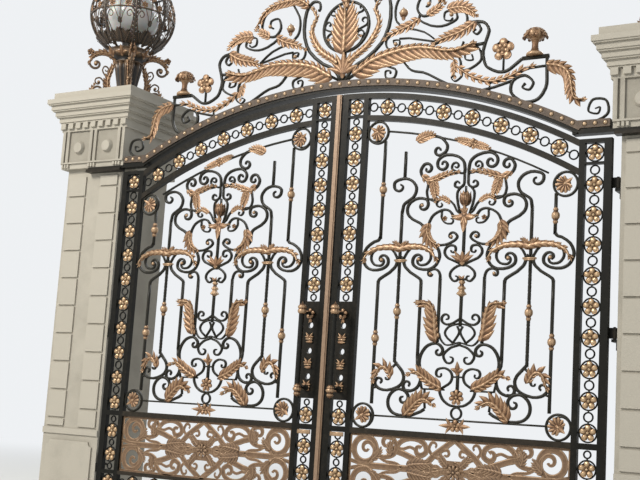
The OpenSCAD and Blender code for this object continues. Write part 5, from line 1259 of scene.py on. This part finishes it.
# The overthrow's studs
def gold_studs():
    """Domed stud heads along the overthrow's band."""
    pile, stud = Pile(), Pile()
    # The dome's relief rises to its crown, painted as highlight there and as shade at its rim.
    lathe(stud, [(15, -3), (15, 0)] + dome(13, 10, range(0, 76, 25)) + [(0.3, 10)], 16,
          relief=[0.1, 0.2, 0.5, 0.7, 0.9, 1.0, 1.0])
    turns = STUD_TURN * np.arange(-STUDS_SIDE, STUDS_SIDE + 1)
    places = [(0, ARCH_Z0) + polar(STUD_R, 90 - turn) for turn in turns]
    places += [(side * (END_STUD_X + k * END_STUD_STEP), END_STUD_Z) for k in range(3) for side in (-1, 1)]
    for x, z in places:
        pile.merge(stud, placed((x, STUD_Y, z), 90, "X"))
    pile.make("overthrow_gilt_studs", STUDS, "gateway", slot="brass")


# The carried solids
BEVEL_ANGLE = radians(35)
STONE_BEVEL, STRIP_BEVEL = 0.004, 0.002


def repaint(name, material, bevel=0.0):
    o = nodes[name]
    if bevel:
        mod = o.modifiers.new("soft_edges", "BEVEL")
        mod.width, mod.segments, mod.limit_method, mod.angle_limit = bevel, 2, "ANGLE", BEVEL_ANGLE
    if not o.material_slots:
        o.data.materials.append(material)
    for s in o.material_slots:
        s.link = "OBJECT"
        s.material = material


def carried_nodes():
    for name in nodes:
        if any(k in name for k in ("plinth", "shaft", "frieze", "cornice")):
            repaint(name, STONE, STONE_BEVEL)
        elif "globe" in name:
            repaint(name, GLASS)
        elif "cover_strip" in name:
            repaint(name, STRIP, STRIP_BEVEL)
        elif "stud_band" in name:
            repaint(name, BAND)
        else:
            repaint(name, FRAME_IRON)


# The studio
BACKDROP = (0.86, 0.88, 0.90, 1)
FLOOR = (0.72, 0.72, 0.70, 1)
FLOOR_MIDDLE, FADE_FROM, FADE_TO = (2.1, 0.0, 0.0), 2.5, 11.0


def area(name, at, look, size, power, colour):
    light = bpy.data.lights.new(name, "AREA")
    light.shape = "RECTANGLE"
    light.size, light.size_y = size
    light.energy = power
    light.color = colour
    o = bpy.data.objects.new(name, light)
    o.location = at
    o.rotation_euler = (Vector(look) - Vector(at)).to_track_quat("-Z", "Y").to_euler()
    bpy.context.scene.collection.objects.link(o)


def seen_ray(t):
    """One for the rays that show the backdrop: from the camera, off gloss and through glass."""
    path = node(t, "LightPath").outputs
    bounced = maths(t, "MAXIMUM", path["Is Glossy Ray"], path["Is Transmission Ray"])
    return maths(t, "MAXIMUM", path["Is Camera Ray"], bounced)


def blended(t, factor, first, second, output):
    """Shows the second shader in place of the first by a factor."""
    mix = node(t, "MixShader")
    for source, socket in zip((factor, first.outputs[0], second.outputs[0]), mix.inputs):
        link(t, source, socket)
    link(t, mix.outputs[0], t.nodes[output].inputs["Surface"])


def studio():
    """A floor that fades into the backdrop away from the gate, a pale sky, and three area lights."""
    scene = bpy.context.scene
    scene.view_settings.view_transform = "Standard"
    mesh = bpy.data.meshes.new("floor")
    mesh.from_pydata([(-40, -40, 0), (44, -40, 0), (44, 40, 0), (-40, 40, 0)], [], [(0, 1, 2, 3)])
    floor = bpy.data.objects.new("floor", mesh)
    m, t, paint, at = fresh("floor_paint")
    put(paint, Base_Color=FLOOR, Roughness=0.9)
    far = node(t, "VectorMath", at, operation="DISTANCE")
    far.inputs[1].default_value = FLOOR_MIDDLE
    fade = node(t, "MapRange", interpolation_type="SMOOTHSTEP", From_Min=FADE_FROM, From_Max=FADE_TO)
    link(t, far.outputs["Value"], fade.inputs["Value"])
    factor = maths(t, "MULTIPLY", fade.outputs["Result"], seen_ray(t))
    blended(t, factor, paint, node(t, "Emission", Color=BACKDROP), "Material Output")
    mesh.materials.append(m)
    scene.collection.objects.link(floor)
    world = bpy.data.worlds.new("studio")
    scene.world = world
    world.use_nodes = True
    t = world.node_tree
    sky = put(t.nodes["Background"], Color=(0.86, 0.90, 0.95, 1), Strength=0.42)
    blended(t, seen_ray(t), sky, node(t, "Background", Color=BACKDROP), "World Output")
    area("key", (-3.4, -11.2, 9.4), (2.1, -0.2, 1.8), (4.1, 4.1), 1850, (1.0, 0.965, 0.90))
    area("fill", (9.5, -7.0, 3.5), (2.1, -0.2, 1.6), (4.0, 4.0), 45, (0.92, 0.96, 1.0))
    area("rim", (2.1, 7.0, 7.5), (2.1, 0.0, 2.0), (6.0, 3.0), 300, (0.95, 0.98, 1.0))


def camera():
    """The photograph's view: its lens on a 36 mm frame, its place in metres, and the ways ahead and up."""
    cam = bpy.data.cameras.new("view")
    cam.sensor_fit = "HORIZONTAL"
    cam.sensor_width = 36.0
    cam.lens = 63.745
    cam.clip_end = 200.0
    o = bpy.data.objects.new("view", cam)
    ahead, up = Vector((-0.51558, 0.84367, 0.14964)), Vector((0.02347, -0.16067, 0.98673))
    ahead.normalize()
    right = ahead.cross(up).normalized()
    m = Matrix((right, right.cross(ahead), -ahead)).transposed().to_4x4()
    m.translation = (5.781, -6.4506, 0.7196)
    o.matrix_world = m
    bpy.context.scene.collection.objects.link(o)
    bpy.context.scene.camera = o


for body, side in (("left_leaf", -1), ("right_leaf", 1)):
    leaf_rings(side, body)
    leaf_infill(side, body)
    handle(side, body)
    strapwork(side, body)
crest()
for name, side in (("left_lamp", -1), ("right_lamp", 1)):
    lamp(side, name)
gold_studs()
carried_nodes()
studio()
camera()

bpy.context.view_layer.update()
